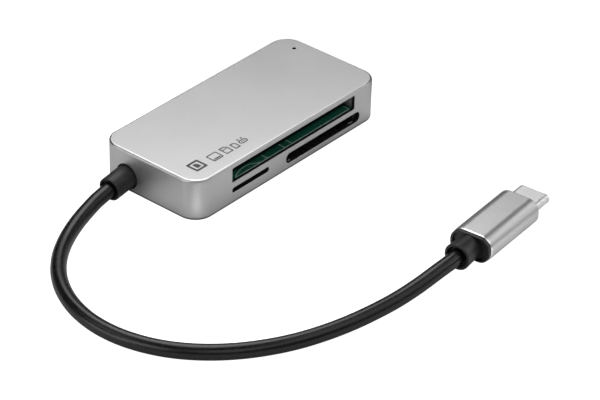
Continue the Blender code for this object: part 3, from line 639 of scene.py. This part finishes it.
def chip_epoxy():
    """Black moulding compound with a fine grit."""
    g = material_graph("chip_epoxy")
    grit = g.noise(5000, 4)
    return g.surface(
        Base_Color=g.ramp(grit, [(0.3, 0.014), (0.7, 0.030)]),
        Roughness=g.remap(grit, 0.5, 0.68),
        Normal=g.bump(grit, 0.012 * MM, 0.6),
    )


def capacitor_ceramic():
    """Tan fired ceramic."""
    g = material_graph("capacitor_ceramic")
    grit = g.noise(4500, 3)
    return g.surface(
        Base_Color=g.ramp(grit, [(0.3, (0.30, 0.21, 0.13)), (0.7, (0.38, 0.28, 0.18))]),
        Roughness=g.remap(grit, 0.4, 0.55),
        Normal=g.bump(grit, 0.006 * MM, 0.5),
    )


def wire_coat(name, colour):
    """A wire's coloured insulation, faintly streaked along its length."""
    g = material_graph(name)
    streak = g.noise(1.0, 2, g.stretched((300, 3000, 3000)))
    dark = tuple(channel * 0.8 for channel in colour)
    return g.surface(
        Base_Color=g.ramp(streak, [(0.3, dark), (0.7, colour)]),
        Roughness=g.remap(streak, 0.38, 0.5),
        Normal=g.bump(streak, 0.004 * MM, 0.4),
    )


def smoked_lens():
    """The dark clear rod under the lamp hole."""
    g = material_graph("smoked_lens")
    haze = g.noise(2500, 2)
    return g.surface(
        Base_Color=g.ramp(haze, [(0.3, 0.012), (0.7, 0.020)]),
        Roughness=g.remap(haze, 0.08, 0.18),
        Normal=g.bump(haze, 0.003 * MM, 0.3),
        Coat_Weight=0.6,
    )


def lamp_package():
    """A small lamp's milky white body."""
    g = material_graph("lamp_package")
    haze = g.noise(2500, 2)
    return g.surface(
        Base_Color=g.ramp(haze, [(0.3, (0.62, 0.62, 0.56)), (0.7, (0.72, 0.72, 0.66))]),
        Roughness=g.remap(haze, 0.3, 0.42),
        Normal=g.bump(haze, 0.004 * MM, 0.3),
    )


# ---------------------------------------------------------------- outlines and meshes

# A point from an outline's two coordinates and its place along the axis that the outline stands across
PLANES = {
    "X": lambda u, v, along: Vector((along, u, v)),
    "Y": lambda u, v, along: Vector((u, along, v)),
    "Z": lambda u, v, along: Vector((u, v, along)),
}


def rounded_outline(length, width, radius, steps):
    """A rounded rectangle centred on zero, anticlockwise."""
    points = []
    for side_u, side_v, first in ((1, 1, 0), (-1, 1, 90), (-1, -1, 180), (1, -1, 270)):
        centre_u = side_u * (length / 2 - radius)
        centre_v = side_v * (width / 2 - radius)
        for step in range(steps + 1):
            angle = math.radians(first + 90 * step / steps)
            points.append((centre_u + radius * math.cos(angle), centre_v + radius * math.sin(angle)))
    return points


def circle_outline(radius, steps=48):
    angles = (2 * math.pi * step / steps for step in range(steps))
    return [(radius * math.cos(angle), radius * math.sin(angle)) for angle in angles]


def arc_steps(first_deg, last_deg, steps):
    """(cosine, sine) pairs along an arc."""
    angles = (math.radians(first_deg + (last_deg - first_deg) * k / steps) for k in range(steps + 1))
    return [(math.cos(angle), math.sin(angle)) for angle in angles]


def loft(name, rings, closed=False, finishes=None):
    """A mesh in metres through rings of points in millimetres.

    closed joins the last ring to the first; otherwise both ends are capped. finishes gives the number of
    the material for the band after each ring.
    """
    shape = bmesh.new()
    rows = [[shape.verts.new(point * MM) for point in ring] for ring in rings]
    count = len(rows[0])
    bands = list(zip(rows, rows[1:])) + ([(rows[-1], rows[0])] if closed else [])
    for band, (low, high) in enumerate(bands):
        for k in range(count):
            face = shape.faces.new((low[k], low[(k + 1) % count], high[(k + 1) % count], high[k]))
            face.material_index = finishes[band] if finishes else 0
    if not closed:
        first = shape.faces.new(list(reversed(rows[0])))
        last = shape.faces.new(rows[-1])
        first.material_index = finishes[0] if finishes else 0
        last.material_index = finishes[-1] if finishes else 0
    bmesh.ops.recalc_face_normals(shape, faces=shape.faces)
    mesh = bpy.data.meshes.new(name)
    shape.to_mesh(mesh)
    shape.free()
    return mesh


def stacked(name, axis, levels, **options):
    """A loft through (place, outline) levels along an axis."""
    lift = PLANES[axis]
    return loft(name, [[lift(u, v, along) for u, v in outline] for along, outline in levels], **options)


def moved(mesh, place):
    """A mesh shifted to a place in millimetres."""
    mesh.transform(Matrix.Translation(Vector(place) * MM))
    return mesh


def prism(name, outline, axis, start, end, place=(0, 0, 0)):
    """An outline drawn out along an axis, then shifted to a place."""
    return moved(stacked(name, axis, [(start, outline), (end, outline)]), place)


def piece(name, mesh, *finishes):
    """An object for a mesh in the row frame, with its materials."""
    made = bpy.data.objects.new(name, mesh)
    bpy.context.scene.collection.objects.link(made)
    for finish in finishes:
        mesh.materials.append(finish)
    return made


def smooth(obj, angle_deg):
    """Smooth shading with sharp edges above an angle; flat faces keep their own normals."""
    obj.data.shade_smooth()
    obj.data.set_sharp_from_angle(angle=math.radians(angle_deg))
    weigh = obj.modifiers.new("weigh_normals", "WEIGHTED_NORMAL")
    weigh.keep_sharp = True
    weigh.weight = 80


def carve(obj, cutters):
    """Cuts the shapes out of a piece for good, then throws the cutters away."""
    for cutter in cutters:
        change = obj.modifiers.new(cutter.name, "BOOLEAN")
        change.operation = "DIFFERENCE"
        change.solver = "EXACT"
        change.material_mode = "TRANSFER"
        change.object = cutter
    graph = bpy.context.evaluated_depsgraph_get()
    result = bpy.data.meshes.new_from_object(obj.evaluated_get(graph))
    obj.modifiers.clear()
    obj.data = result
    for cutter in cutters:
        bpy.data.objects.remove(cutter, do_unlink=True)


def spline_points(route, count, fine_steps=20):
    """Evenly spaced points on a Catmull-Rom curve through a route's points."""
    route = [Vector(point) for point in route]
    ends = [route[0] * 2 - route[1], *route, route[-1] * 2 - route[-2]]
    fine = []
    for before, first, second, after in zip(ends, ends[1:], ends[2:], ends[3:]):
        for step in range(fine_steps):
            t = step / fine_steps
            slope = second - before
            bend = before * 2 - first * 5 + second * 4 - after
            twist = first * 3 - before - second * 3 + after
            fine.append((first * 2 + slope * t + bend * t**2 + twist * t**3) / 2)
    fine.append(route[-1])
    reached = [0.0]
    for first, second in zip(fine, fine[1:]):
        reached.append(reached[-1] + (second - first).length)
    points = []
    segment = 0
    for number in range(count):
        wanted = reached[-1] * number / (count - 1)
        while segment < len(fine) - 2 and reached[segment + 1] < wanted:
            segment += 1
        share = (wanted - reached[segment]) / (reached[segment + 1] - reached[segment])
        points.append(fine[segment].lerp(fine[segment + 1], share))
    return points


# ---------------------------------------------------------------- case


def case_outline(inset):
    length, width = CASE_LENGTH - 2 * inset, CASE_WIDTH - 2 * inset
    return rounded_outline(length, width, CASE_CORNER - inset, CASE_CORNER_STEPS)


def case_levels():
    """The case's outline from its rounded lower edge to its rounded upper one."""
    levels = []
    for cosine, sine in arc_steps(0, 90, BOTTOM_STEPS):
        levels.append((BOTTOM_FILLET * (1 - cosine), case_outline(BOTTOM_FILLET * (1 - sine))))
    for cosine, sine in arc_steps(0, 90, TOP_STEPS):
        levels.append((CASE_HEIGHT - TOP_EDGE * (1 - sine), case_outline(TOP_EDGE * (1 - cosine))))
    return levels


def slot_cutter(name, wall, dark):
    """A slot's shape, flared at the outer face so that it leaves a rounded lip."""
    centre, width, low, high, corner = SLOTS[name]
    past, skin, lip_steps, corner_steps = 0.3, 0.001, 5, 10
    levels = [(FRONT_Y - past, 2 * SLOT_LIP), (FRONT_Y - skin, (1 + skin) * SLOT_LIP)]
    for cosine, sine in arc_steps(10, 90, lip_steps):
        levels.append((FRONT_Y + SLOT_LIP * (1 - cosine), SLOT_LIP * (1 - sine)))
    levels += [(FRONT_Y + WALL + past, 0.0)]
    rings = []
    for along, grow in levels:
        slot_width, slot_height = width + 2 * grow, high - low + 2 * grow
        outline = rounded_outline(slot_width, slot_height, corner + grow, corner_steps)
        rings.append([Vector((centre + u, along, (low + high) / 2 + v)) for u, v in outline])
    # The slot's cut faces behind the lip take the near-black painted shade
    finishes = [0] * (len(levels) - 2) + [1]
    return piece(name, loft(name, rings, finishes=finishes), wall, dark)


def case_hollow(dark):
    """The space inside the case, with the screw bosses left standing in it."""
    hollow = piece("case_hollow", prism("case_hollow", case_outline(WALL), "Z", -1, ROOF), dark)
    boss = circle_outline(BOSS_RADIUS, BOSS_SIDES)
    shapes = [prism("boss", boss, "Z", BOSS_BOTTOM, ROOF + 1, place) for place in SCREW_PLACES]
    carve(hollow, [piece("boss", shape) for shape in shapes])
    return hollow


def case_holes(dark):
    """The screws' pilot holes, the lamp's hole and the boot's."""
    pilot = circle_outline(PILOT_RADIUS, BOSS_SIDES)
    shapes = [prism("pilot", pilot, "Z", 0, PILOT_TOP, place) for place in SCREW_PLACES]
    pilots = [piece("pilot", shape, dark) for shape in shapes]
    lamp = circle_outline(LAMP_RADIUS, 32)
    lamp_hole = prism("lamp", lamp, "Z", ROOF - 1, CASE_HEIGHT + 1, (LAMP_X, LAMP_Y, 0))
    boot = circle_outline(BOOT_HOLE_RADIUS)
    boot_hole = prism("boot", boot, "X", CABLE_END_X - 1, CABLE_END_X + 1.5, (0, BOOT_Y, BOOT_Z))
    return [*pilots, piece("lamp_hole", lamp_hole, dark), piece("boot_hole", boot_hole, dark)]


def make_case(top, dark, walls, burnished_highlight):
    """The case: a drawn aluminium shell with a burnished upper edge brightened as a painted highlight,
    slots with rounded lips, and painted shade on its inner and cut faces.
    """
    plain_steps = BOTTOM_STEPS + 1 + TOP_STEPS - BURNISHED_HIGHLIGHT_STEPS
    finishes = [2] * plain_steps + [3] * BURNISHED_HIGHLIGHT_STEPS + [0]
    mesh = stacked("case_body", "Z", case_levels(), finishes=finishes)
    body = piece("case_body", mesh, top, dark, walls, burnished_highlight)
    # The hollow, the holes and the slots' cut faces carry the near-black painted shade
    hollow = case_hollow(dark)
    holes = case_holes(dark)
    slots = [slot_cutter(name, walls, dark) for name in SLOTS]
    carve(body, [hollow, *holes, *slots])
    smooth(body, 32)
    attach(body, HOUSING)
    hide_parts("case_shell")


# ---------------------------------------------------------------- printed marks


def ribbon(name, lines, width, height):
    """Thin flat strips along lines of (x, y) points, lying at a height."""
    top = height + INK_THICKNESS
    shape = bmesh.new()
    for line in lines:
        points = [Vector((x, y, 0.0)) for x, y in line]
        rows = []
        for number, point in enumerate(points):
            ahead = points[min(number + 1, len(points) - 1)] - points[max(number - 1, 0)]
            side = Vector((-ahead.y, ahead.x, 0)).normalized() * width / 2
            row = []
            for offset, z in ((side, height), (-side, height), (-side, top), (side, top)):
                corner = point + offset
                row.append(shape.verts.new(Vector((corner.x, corner.y, z)) * MM))
            rows.append(row)
        for low, high in zip(rows, rows[1:]):
            for k in range(4):
                shape.faces.new((low[k], low[(k + 1) % 4], high[(k + 1) % 4], high[k]))
        shape.faces.new(list(reversed(rows[0])))
        shape.faces.new(rows[-1])
    bmesh.ops.recalc_face_normals(shape, faces=shape.faces)
    mesh = bpy.data.meshes.new(name)
    shape.to_mesh(mesh)
    shape.free()
    return mesh


def make_board_print(ink):
    """Printed on the board: a line along its front, cross lines, and a curve at the left end."""
    front, back = BOARD_PRINT_FRONT_Y, BOARD_SHADE_Y
    left, right = BOARD_PRINT_LEFT_X, BOARD_PRINT_RIGHT_X
    lines = [[(left, front), (right, front)], [(right, front), (right, back - 0.15)]]
    lines += [[(x, front), (x, back)] for x in BOARD_CROSS_LINES_X]
    curve = spline_points([(x, y, 0) for x, y in BOARD_CURVE], 40)
    lines.append([(point.x, point.y) for point in curve])
    mesh = ribbon("board_print", lines, BOARD_LINE_WIDTH, BOARD_TOP + BOARD_INK_GAP)
    marks = piece("board_print", mesh, ink)
    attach(marks, HOUSING)


def cut_corner(width, height, cut, inset):
    """A card's outline, moved in by an inset: a rectangle without its upper right corner."""
    right, top = width / 2 - inset, height / 2 - inset
    cut -= 0.6 * inset
    return [(-right, -top), (right, -top), (right, top - cut), (right - cut, top), (-right, top)]


def rectangle(width, height):
    right, top = width / 2, height / 2
    return [(-right, -top), (right, -top), (right, top), (-right, top)]


def joined(name, meshes):
    """Several meshes as one, each where it is."""
    shape = bmesh.new()
    for mesh in meshes:
        shape.from_mesh(mesh)
    whole = bpy.data.meshes.new(name)
    shape.to_mesh(whole)
    shape.free()
    return whole


def printed_frame(x, y, outer, inner):
    """A printed ring between two outlines with as many points each."""
    low = CASE_HEIGHT + CASE_INK_GAP
    high = low + INK_THICKNESS
    levels = [(low, outer), (high, outer), (high, inner), (low, inner)]
    return moved(stacked("frame", "Z", levels, closed=True), (x, y, 0))


def printed_solid(x, y, outline):
    low = CASE_HEIGHT + CASE_INK_GAP
    return prism("solid", outline, "Z", low, low + INK_THICKNESS, (x, y, 0))


def badge_marks():
    """A framed card."""
    outside, inside = 3.7, 2.5
    outer, inner = rounded_outline(outside, outside, 0.3, 4), rounded_outline(inside, inside, 0.2, 4)
    card = cut_corner(1.3, 1.7, 0.5, 0.0)
    return [printed_frame(BADGE_X, BADGE_Y, outer, inner), printed_solid(BADGE_X, BADGE_Y, card)]


def wide_card_marks():
    """A wide card with its contact edge."""
    width, height = 3.3, 2.9
    outer = rounded_outline(width, height, 0.35, 4)
    inner = rounded_outline(width - 2 * PICTOGRAM_LINE, height - 2 * PICTOGRAM_LINE, 0.1, 4)
    edge = printed_solid(WIDE_CARD_X, ROW_Y - 0.75, rectangle(2.2, 0.4))
    return [printed_frame(WIDE_CARD_X, ROW_Y, outer, inner), edge]


def medium_card_marks():
    """A medium card with three contacts."""
    outer, inner = (cut_corner(2.3, 2.9, 0.7, inset) for inset in (0.0, PICTOGRAM_LINE))
    pitch, contact = 0.5, rectangle(0.24, 0.6)
    places = [MEDIUM_CARD_X + step * pitch - 0.1 for step in (-1, 0, 1)]
    contacts = [printed_solid(x, ROW_Y + 0.45, contact) for x in places]
    return [printed_frame(MEDIUM_CARD_X, ROW_Y, outer, inner), *contacts]


def small_card_marks():
    """A small card, plain."""
    outer, inner = (cut_corner(1.7, 2.3, 0.6, inset) for inset in (0.0, PICTOGRAM_LINE))
    return [printed_frame(SMALL_CARD_X, ROW_Y - 0.3, outer, inner)]


def plug_marks():
    """A plug's open end, with two dots above it."""
    width, height = 2.6, 1.5
    outer = rounded_outline(width, height, 0.7, 6)
    inner = rounded_outline(width - 2 * PICTOGRAM_LINE, height - 2 * PICTOGRAM_LINE, 0.38, 6)
    bar = printed_solid(PLUG_SIGN_X, ROW_Y - 0.3, rectangle(1.4, 0.2))
    dot = rectangle(0.5, 0.5)
    dots = [printed_solid(PLUG_SIGN_X + step * 0.6, ROW_Y + 0.95, dot) for step in (-1, 1)]
    return [printed_frame(PLUG_SIGN_X, ROW_Y - 0.3, outer, inner), bar, *dots]


def make_case_print(ink):
    """Plain pictograms beside the slots: a framed card, a row of three sizes of card, and a plug."""
    marks = badge_marks() + wide_card_marks() + medium_card_marks() + small_card_marks() + plug_marks()
    printed = piece("case_print", joined("case_print", marks), ink)
    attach(printed, HOUSING)


def make_card_springs(steel):
    """Bright spring humps and a guide post in the medium slot, beside the card."""
    hump = [(HUMP_WIDTH / 2 * cosine, HUMP_HEIGHT * sine) for cosine, sine in arc_steps(0, 180, 12)]
    place = (0, HUMP_Y, SPRING_FLOOR)
    shapes = [prism("hump", hump, "X", *stretch, place) for stretch in HUMP_STRETCHES_X]
    post = circle_outline(POST_RADIUS, 16)
    shapes.append(prism("post", post, "Z", SPRING_FLOOR, POST_TOP, (POST_X, POST_Y, 0)))
    springs = piece("card_springs", joined("card_springs", shapes), steel)
    smooth(springs, 40)
    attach(springs, HOUSING)


# ---------------------------------------------------------------- cable and boot


def boot_axis(distance):
    """The boot's centre line from its inner face: a point and a direction, at a distance along it."""
    inner_x = CABLE_END_X + WALL + BOOT_WALL_GAP + BOOT_FLANGE
    straight = inner_x - CABLE_END_X + BOOT_BEND_START
    start = Vector((inner_x, BOOT_Y, BOOT_Z))
    outward = Vector((-1, 0, 0))
    swing = math.radians(BOOT_SWING_DEG)
    droop = math.radians(BOOT_DROOP_DEG)
    bent = Vector((-math.cos(swing) * math.cos(droop), -math.sin(swing), -math.sin(droop))).normalized()
    if distance <= straight:
        return start + outward * distance, outward
    return start + outward * straight + bent * (distance - straight), bent


def boot_profile():
    """(distance along the boot, radius) pairs from its inner face, over the mouth and down its socket."""
    flange, neck = BOOT_FLANGE_RADIUS, BOOT_RADIUS
    end = BOOT_FLANGE + BOOT_WALL_GAP + WALL + BOOT_LENGTH
    throat = CABLE_RADIUS + BOOT_THROAT_GAP
    profile = [(0.0, flange - 0.1), (0.1, flange), (BOOT_FLANGE - 0.02, flange), (BOOT_FLANGE, neck)]
    profile += [(BOOT_FLANGE + step, neck) for step in BOOT_NECK_RINGS]
    edge = BOOT_MOUTH_EDGE
    for cosine, sine in arc_steps(0, 90, 6):
        profile.append((end - edge + edge * sine, neck - edge * (1 - cosine)))
    edge = BOOT_THROAT_EDGE
    for cosine, sine in arc_steps(0, 90, 3):
        profile.append((end - edge * (1 - cosine), throat + edge * (1 - sine)))
    profile.append((end - SOCKET_DEPTH, throat))
    return profile


def make_boot(rubber):
    """The moulded strain relief, with a rounded mouth that the cable comes out of."""
    rings = []
    for distance, radius in boot_profile():
        centre, direction = boot_axis(distance)
        side = Vector((0, 0, 1)).cross(direction).normalized()
        up = direction.cross(side)
        rings.append([centre + side * u + up * v for u, v in circle_outline(radius)])
    boot = piece("boot", loft("boot", rings), rubber)
    smooth(boot, 50)
    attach(boot, HOUSING)
    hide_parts("cable_boot")
    return boot


def make_cable(rubber):
    """The cable as a round tube along its route, and its length in millimetres."""
    points = spline_points(CABLE_ROUTE, CABLE_POINTS)
    curve = bpy.data.curves.new("cable_sheath", "CURVE")
    curve.dimensions = "3D"
    curve.bevel_depth = CABLE_RADIUS * MM
    curve.bevel_resolution = 10
    curve.use_fill_caps = True
    spline = curve.splines.new("POLY")
    spline.points.add(len(points) - 1)
    for spot, point in zip(spline.points, points):
        spot.co = (*(point * MM), 1.0)
    spline.use_smooth = True
    curve.materials.append(rubber)
    cable = bpy.data.objects.new("cable_sheath", curve)
    bpy.context.scene.collection.objects.link(cable)
    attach(cable, HOUSING)
    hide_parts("cable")
    return cable, sum((b - a).length for a, b in zip(points, points[1:]))


# ---------------------------------------------------------------- plug


def plug_matrix():
    turn = Matrix.Rotation(math.radians(PLUG_YAW_DEG), 4, "Z")
    return Matrix.Translation(Vector(PLUG_PLACE) * MM) @ turn


def plug_piece(name, mesh, replaced, finishes, angle_deg):
    """A piece built along the plug's own +X, put where the plug lies."""
    mesh.transform(plug_matrix())
    made = piece(name, mesh, *finishes)
    smooth(made, angle_deg)
    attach(made, HOUSING)
    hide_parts(replaced)
    return made


def sleeve_section(inset):
    width, height = SLEEVE_WIDTH - 2 * inset, SLEEVE_HEIGHT - 2 * inset
    return rounded_outline(width, height, SLEEVE_CORNER - inset, SECTION_STEPS)


def tongue_section(grow):
    """The metal shell's outline, grown on every side. Its ends are almost half circles."""
    width, height = TONGUE_WIDTH + 2 * grow, TONGUE_HEIGHT + 2 * grow
    return rounded_outline(width, height, 0.499 * height, SECTION_STEPS)


def round_section(radius):
    """A circle with as many points as the plug's other sections."""
    return rounded_outline(2 * radius, 2 * radius, 0.999 * radius, SECTION_STEPS)


def make_sleeve(aluminium, polished):
    """The sleeve: a blasted tube with a polished rim at its back and a nearly closed front."""
    rim, taper, edge = 0.38, 0.08, 0.3
    mouth, mouth_edge = 0.15, 0.1
    bore = sleeve_section(SLEEVE_WALL)
    levels = [(0.6, bore), (0.05, bore), (0.0, sleeve_section(0.52))]
    levels += [(0.0, sleeve_section(2 * taper)), (0.08, sleeve_section(taper))]
    bright = len(levels)
    levels += [(rim, sleeve_section(0.0)), (SLEEVE_LENGTH - edge, sleeve_section(0.0))]
    for cosine, sine in arc_steps(0, 90, 5)[1:]:
        levels.append((SLEEVE_LENGTH - edge + edge * sine, sleeve_section(edge * (1 - cosine))))
    levels += [(SLEEVE_LENGTH, tongue_section(mouth + mouth_edge))]
    levels += [(SLEEVE_LENGTH - mouth_edge, tongue_section(mouth))]
    levels += [(SLEEVE_LENGTH - SLEEVE_FRONT_WALL, tongue_section(mouth))]
    levels += [(SLEEVE_LENGTH - SLEEVE_FRONT_WALL, bore)]
    finishes = [1] * bright + [0] * (len(levels) - bright)
    mesh = stacked("sleeve", "X", levels, closed=True, finishes=finishes)
    return plug_piece("sleeve", mesh, "plug_sleeve", (aluminium, polished), 30)


def collar_levels():
    """The collar, from the foot of the cable's socket over its rounded end to its neck."""
    throat, end, edge = CABLE_RADIUS + 0.75, COLLAR_END, 0.3
    levels = [(end + COLLAR_SOCKET_DEPTH, round_section(throat)), (end + 0.1, round_section(throat))]
    levels += [(end, round_section(throat + 0.1))]
    for cosine, sine in arc_steps(90, 0, 5):
        levels.append((end + edge * (1 - sine), round_section(COLLAR_RADIUS - edge * (1 - cosine))))
    return levels


def make_overmould(plastic):
    """The black moulding: collar, rounded cap and the core inside the sleeve."""
    cap_back, cap_front, cap_inset, cap_edge = -0.9, -0.2, 0.15, 0.15
    foot, foot_width, neck = -0.3, SLEEVE_WIDTH - 1.5, COLLAR_NECK_RADIUS
    core_inset, core_end = SLEEVE_WALL + 0.2, 8.8
    foot_section = rounded_outline(foot_width, 2 * neck + 0.1, 0.999 * neck, SECTION_STEPS)
    levels = collar_levels()
    levels += [(foot, round_section(neck)), (foot, foot_section), (cap_back + 0.05, foot_section)]
    for cosine, sine in arc_steps(90, 0, 5):
        inset = cap_inset + cap_edge * (1 - cosine)
        levels.append((cap_back + cap_edge * (1 - sine), sleeve_section(inset)))
    levels += [(cap_front, sleeve_section(cap_inset)), (cap_front, sleeve_section(core_inset))]
    levels += [(core_end, sleeve_section(core_inset))]
    mesh = stacked("overmould", "X", levels)
    return plug_piece("overmould", mesh, "plug_overmould", (plastic,), 35)


def make_tongue(steel):
    """The plug's shell: a drawn steel tube with a rolled lip."""
    tip, lip = SLEEVE_LENGTH + TONGUE_LENGTH, 0.15
    outside, inside = tongue_section(0.0), tongue_section(-TONGUE_WALL)
    levels = [(TONGUE_BACK, inside), (TONGUE_BACK, outside), (tip - 0.35, outside)]
    for cosine, sine in arc_steps(0, 180, 8):
        levels.append((tip - lip + lip * sine, tongue_section(-lip * (1 - cosine))))
    levels += [(tip - 0.4, inside)]
    mesh = stacked("tongue", "X", levels, closed=True)
    return plug_piece("tongue", mesh, "plug_shell", (steel,), 40)


# ---------------------------------------------------------------- finishes on the carried-over nodes


def make_finishes():
    """The materials of the CAD nodes that stay, by how their names start."""
    steel = plated_steel("plated_steel")
    plastic = moulded_black("moulded_black")
    return {
        ("base_plate",): blasted_aluminium("blasted_aluminium"),
        ("base_screw", "crystal", "medium_socket_cover", "small_socket_cover"): steel,
        ("small_eject_spring", "medium_detect", "medium_lock"): steel,
        ("main_board", "plug_board"): circuit_board(),
        ("wide_guide",): moulded_black("guide_plastic", 0.26, 0.35),
        ("wide_pin_header", "medium_socket_body", "small_socket_body"): plastic,
        ("small_eject_slider", "plug_contact_block"): plastic,
        ("wide_pins", "medium_contacts", "small_contacts", "plug_contacts"): gold_plate(),
        ("controller_chip", "memory_chip", "voltage_regulator"): chip_epoxy(),
        ("capacitor",): capacitor_ceramic(),
        ("lamp_window",): smoked_lens(),
        ("status_lamp",): lamp_package(),
        ("wire_power",): wire_coat("wire_red", (0.45, 0.02, 0.02)),
        ("wire_data_minus",): wire_coat("wire_white", (0.65, 0.65, 0.63)),
        ("wire_data_plus",): wire_coat("wire_green", (0.02, 0.25, 0.06)),
        ("wire_ground",): wire_coat("wire_black", (0.02, 0.02, 0.02)),
    }


def finish_nodes(finishes):
    """Gives CAD nodes their materials, by how the nodes' names start."""
    for starts, finish in finishes.items():
        for name, node in NODES.items():
            if name.startswith(starts):
                node.data.materials.clear()
                node.data.materials.append(finish)


# ---------------------------------------------------------------- the whole


def main():
    make_camera()
    cable, cable_length = make_cable(cable_rubber("cable_rubber"))
    boot = make_boot(cable_rubber("boot_rubber", 0.02, 0.45))
    sleeve = make_sleeve(blasted_aluminium("sleeve_aluminium", 0.38, 0.78), polished_aluminium())
    overmould = make_overmould(moulded_black("overmould_black", 0.02, 0.4))
    tongue = make_tongue(plated_steel("tongue_steel", 0.85, 0.4))
    make_case(
        top=blasted_aluminium("case_top"),
        # The inner and cut faces get near-black painted shade
        dark=painted_shade_black(),
        # The walls' lower edge carries painted shade
        walls=blasted_aluminium("case_walls", painted_shade_height=PAINTED_SHADE_TOP),
        # The upper edge's band is burnished and brightened further as a painted highlight
        burnished_highlight=blasted_aluminium("case_rim", 0.36, 0.95, gain=1.25),
    )
    make_board_print(board_ink())
    make_case_print(case_ink())
    make_card_springs(plated_steel("spring_steel", 0.9, 0.32))
    finish_nodes(make_finishes())

    on_cord = [boot, sleeve, overmould, tongue]
    on_cord += [NODES[name] for name in sorted(NODES) if name.startswith(("plug_contact", "plug_board"))]
    make_floor()
    make_lights()
    make_world()
    bpy.context.scene.view_settings.view_transform = "Standard"


main()
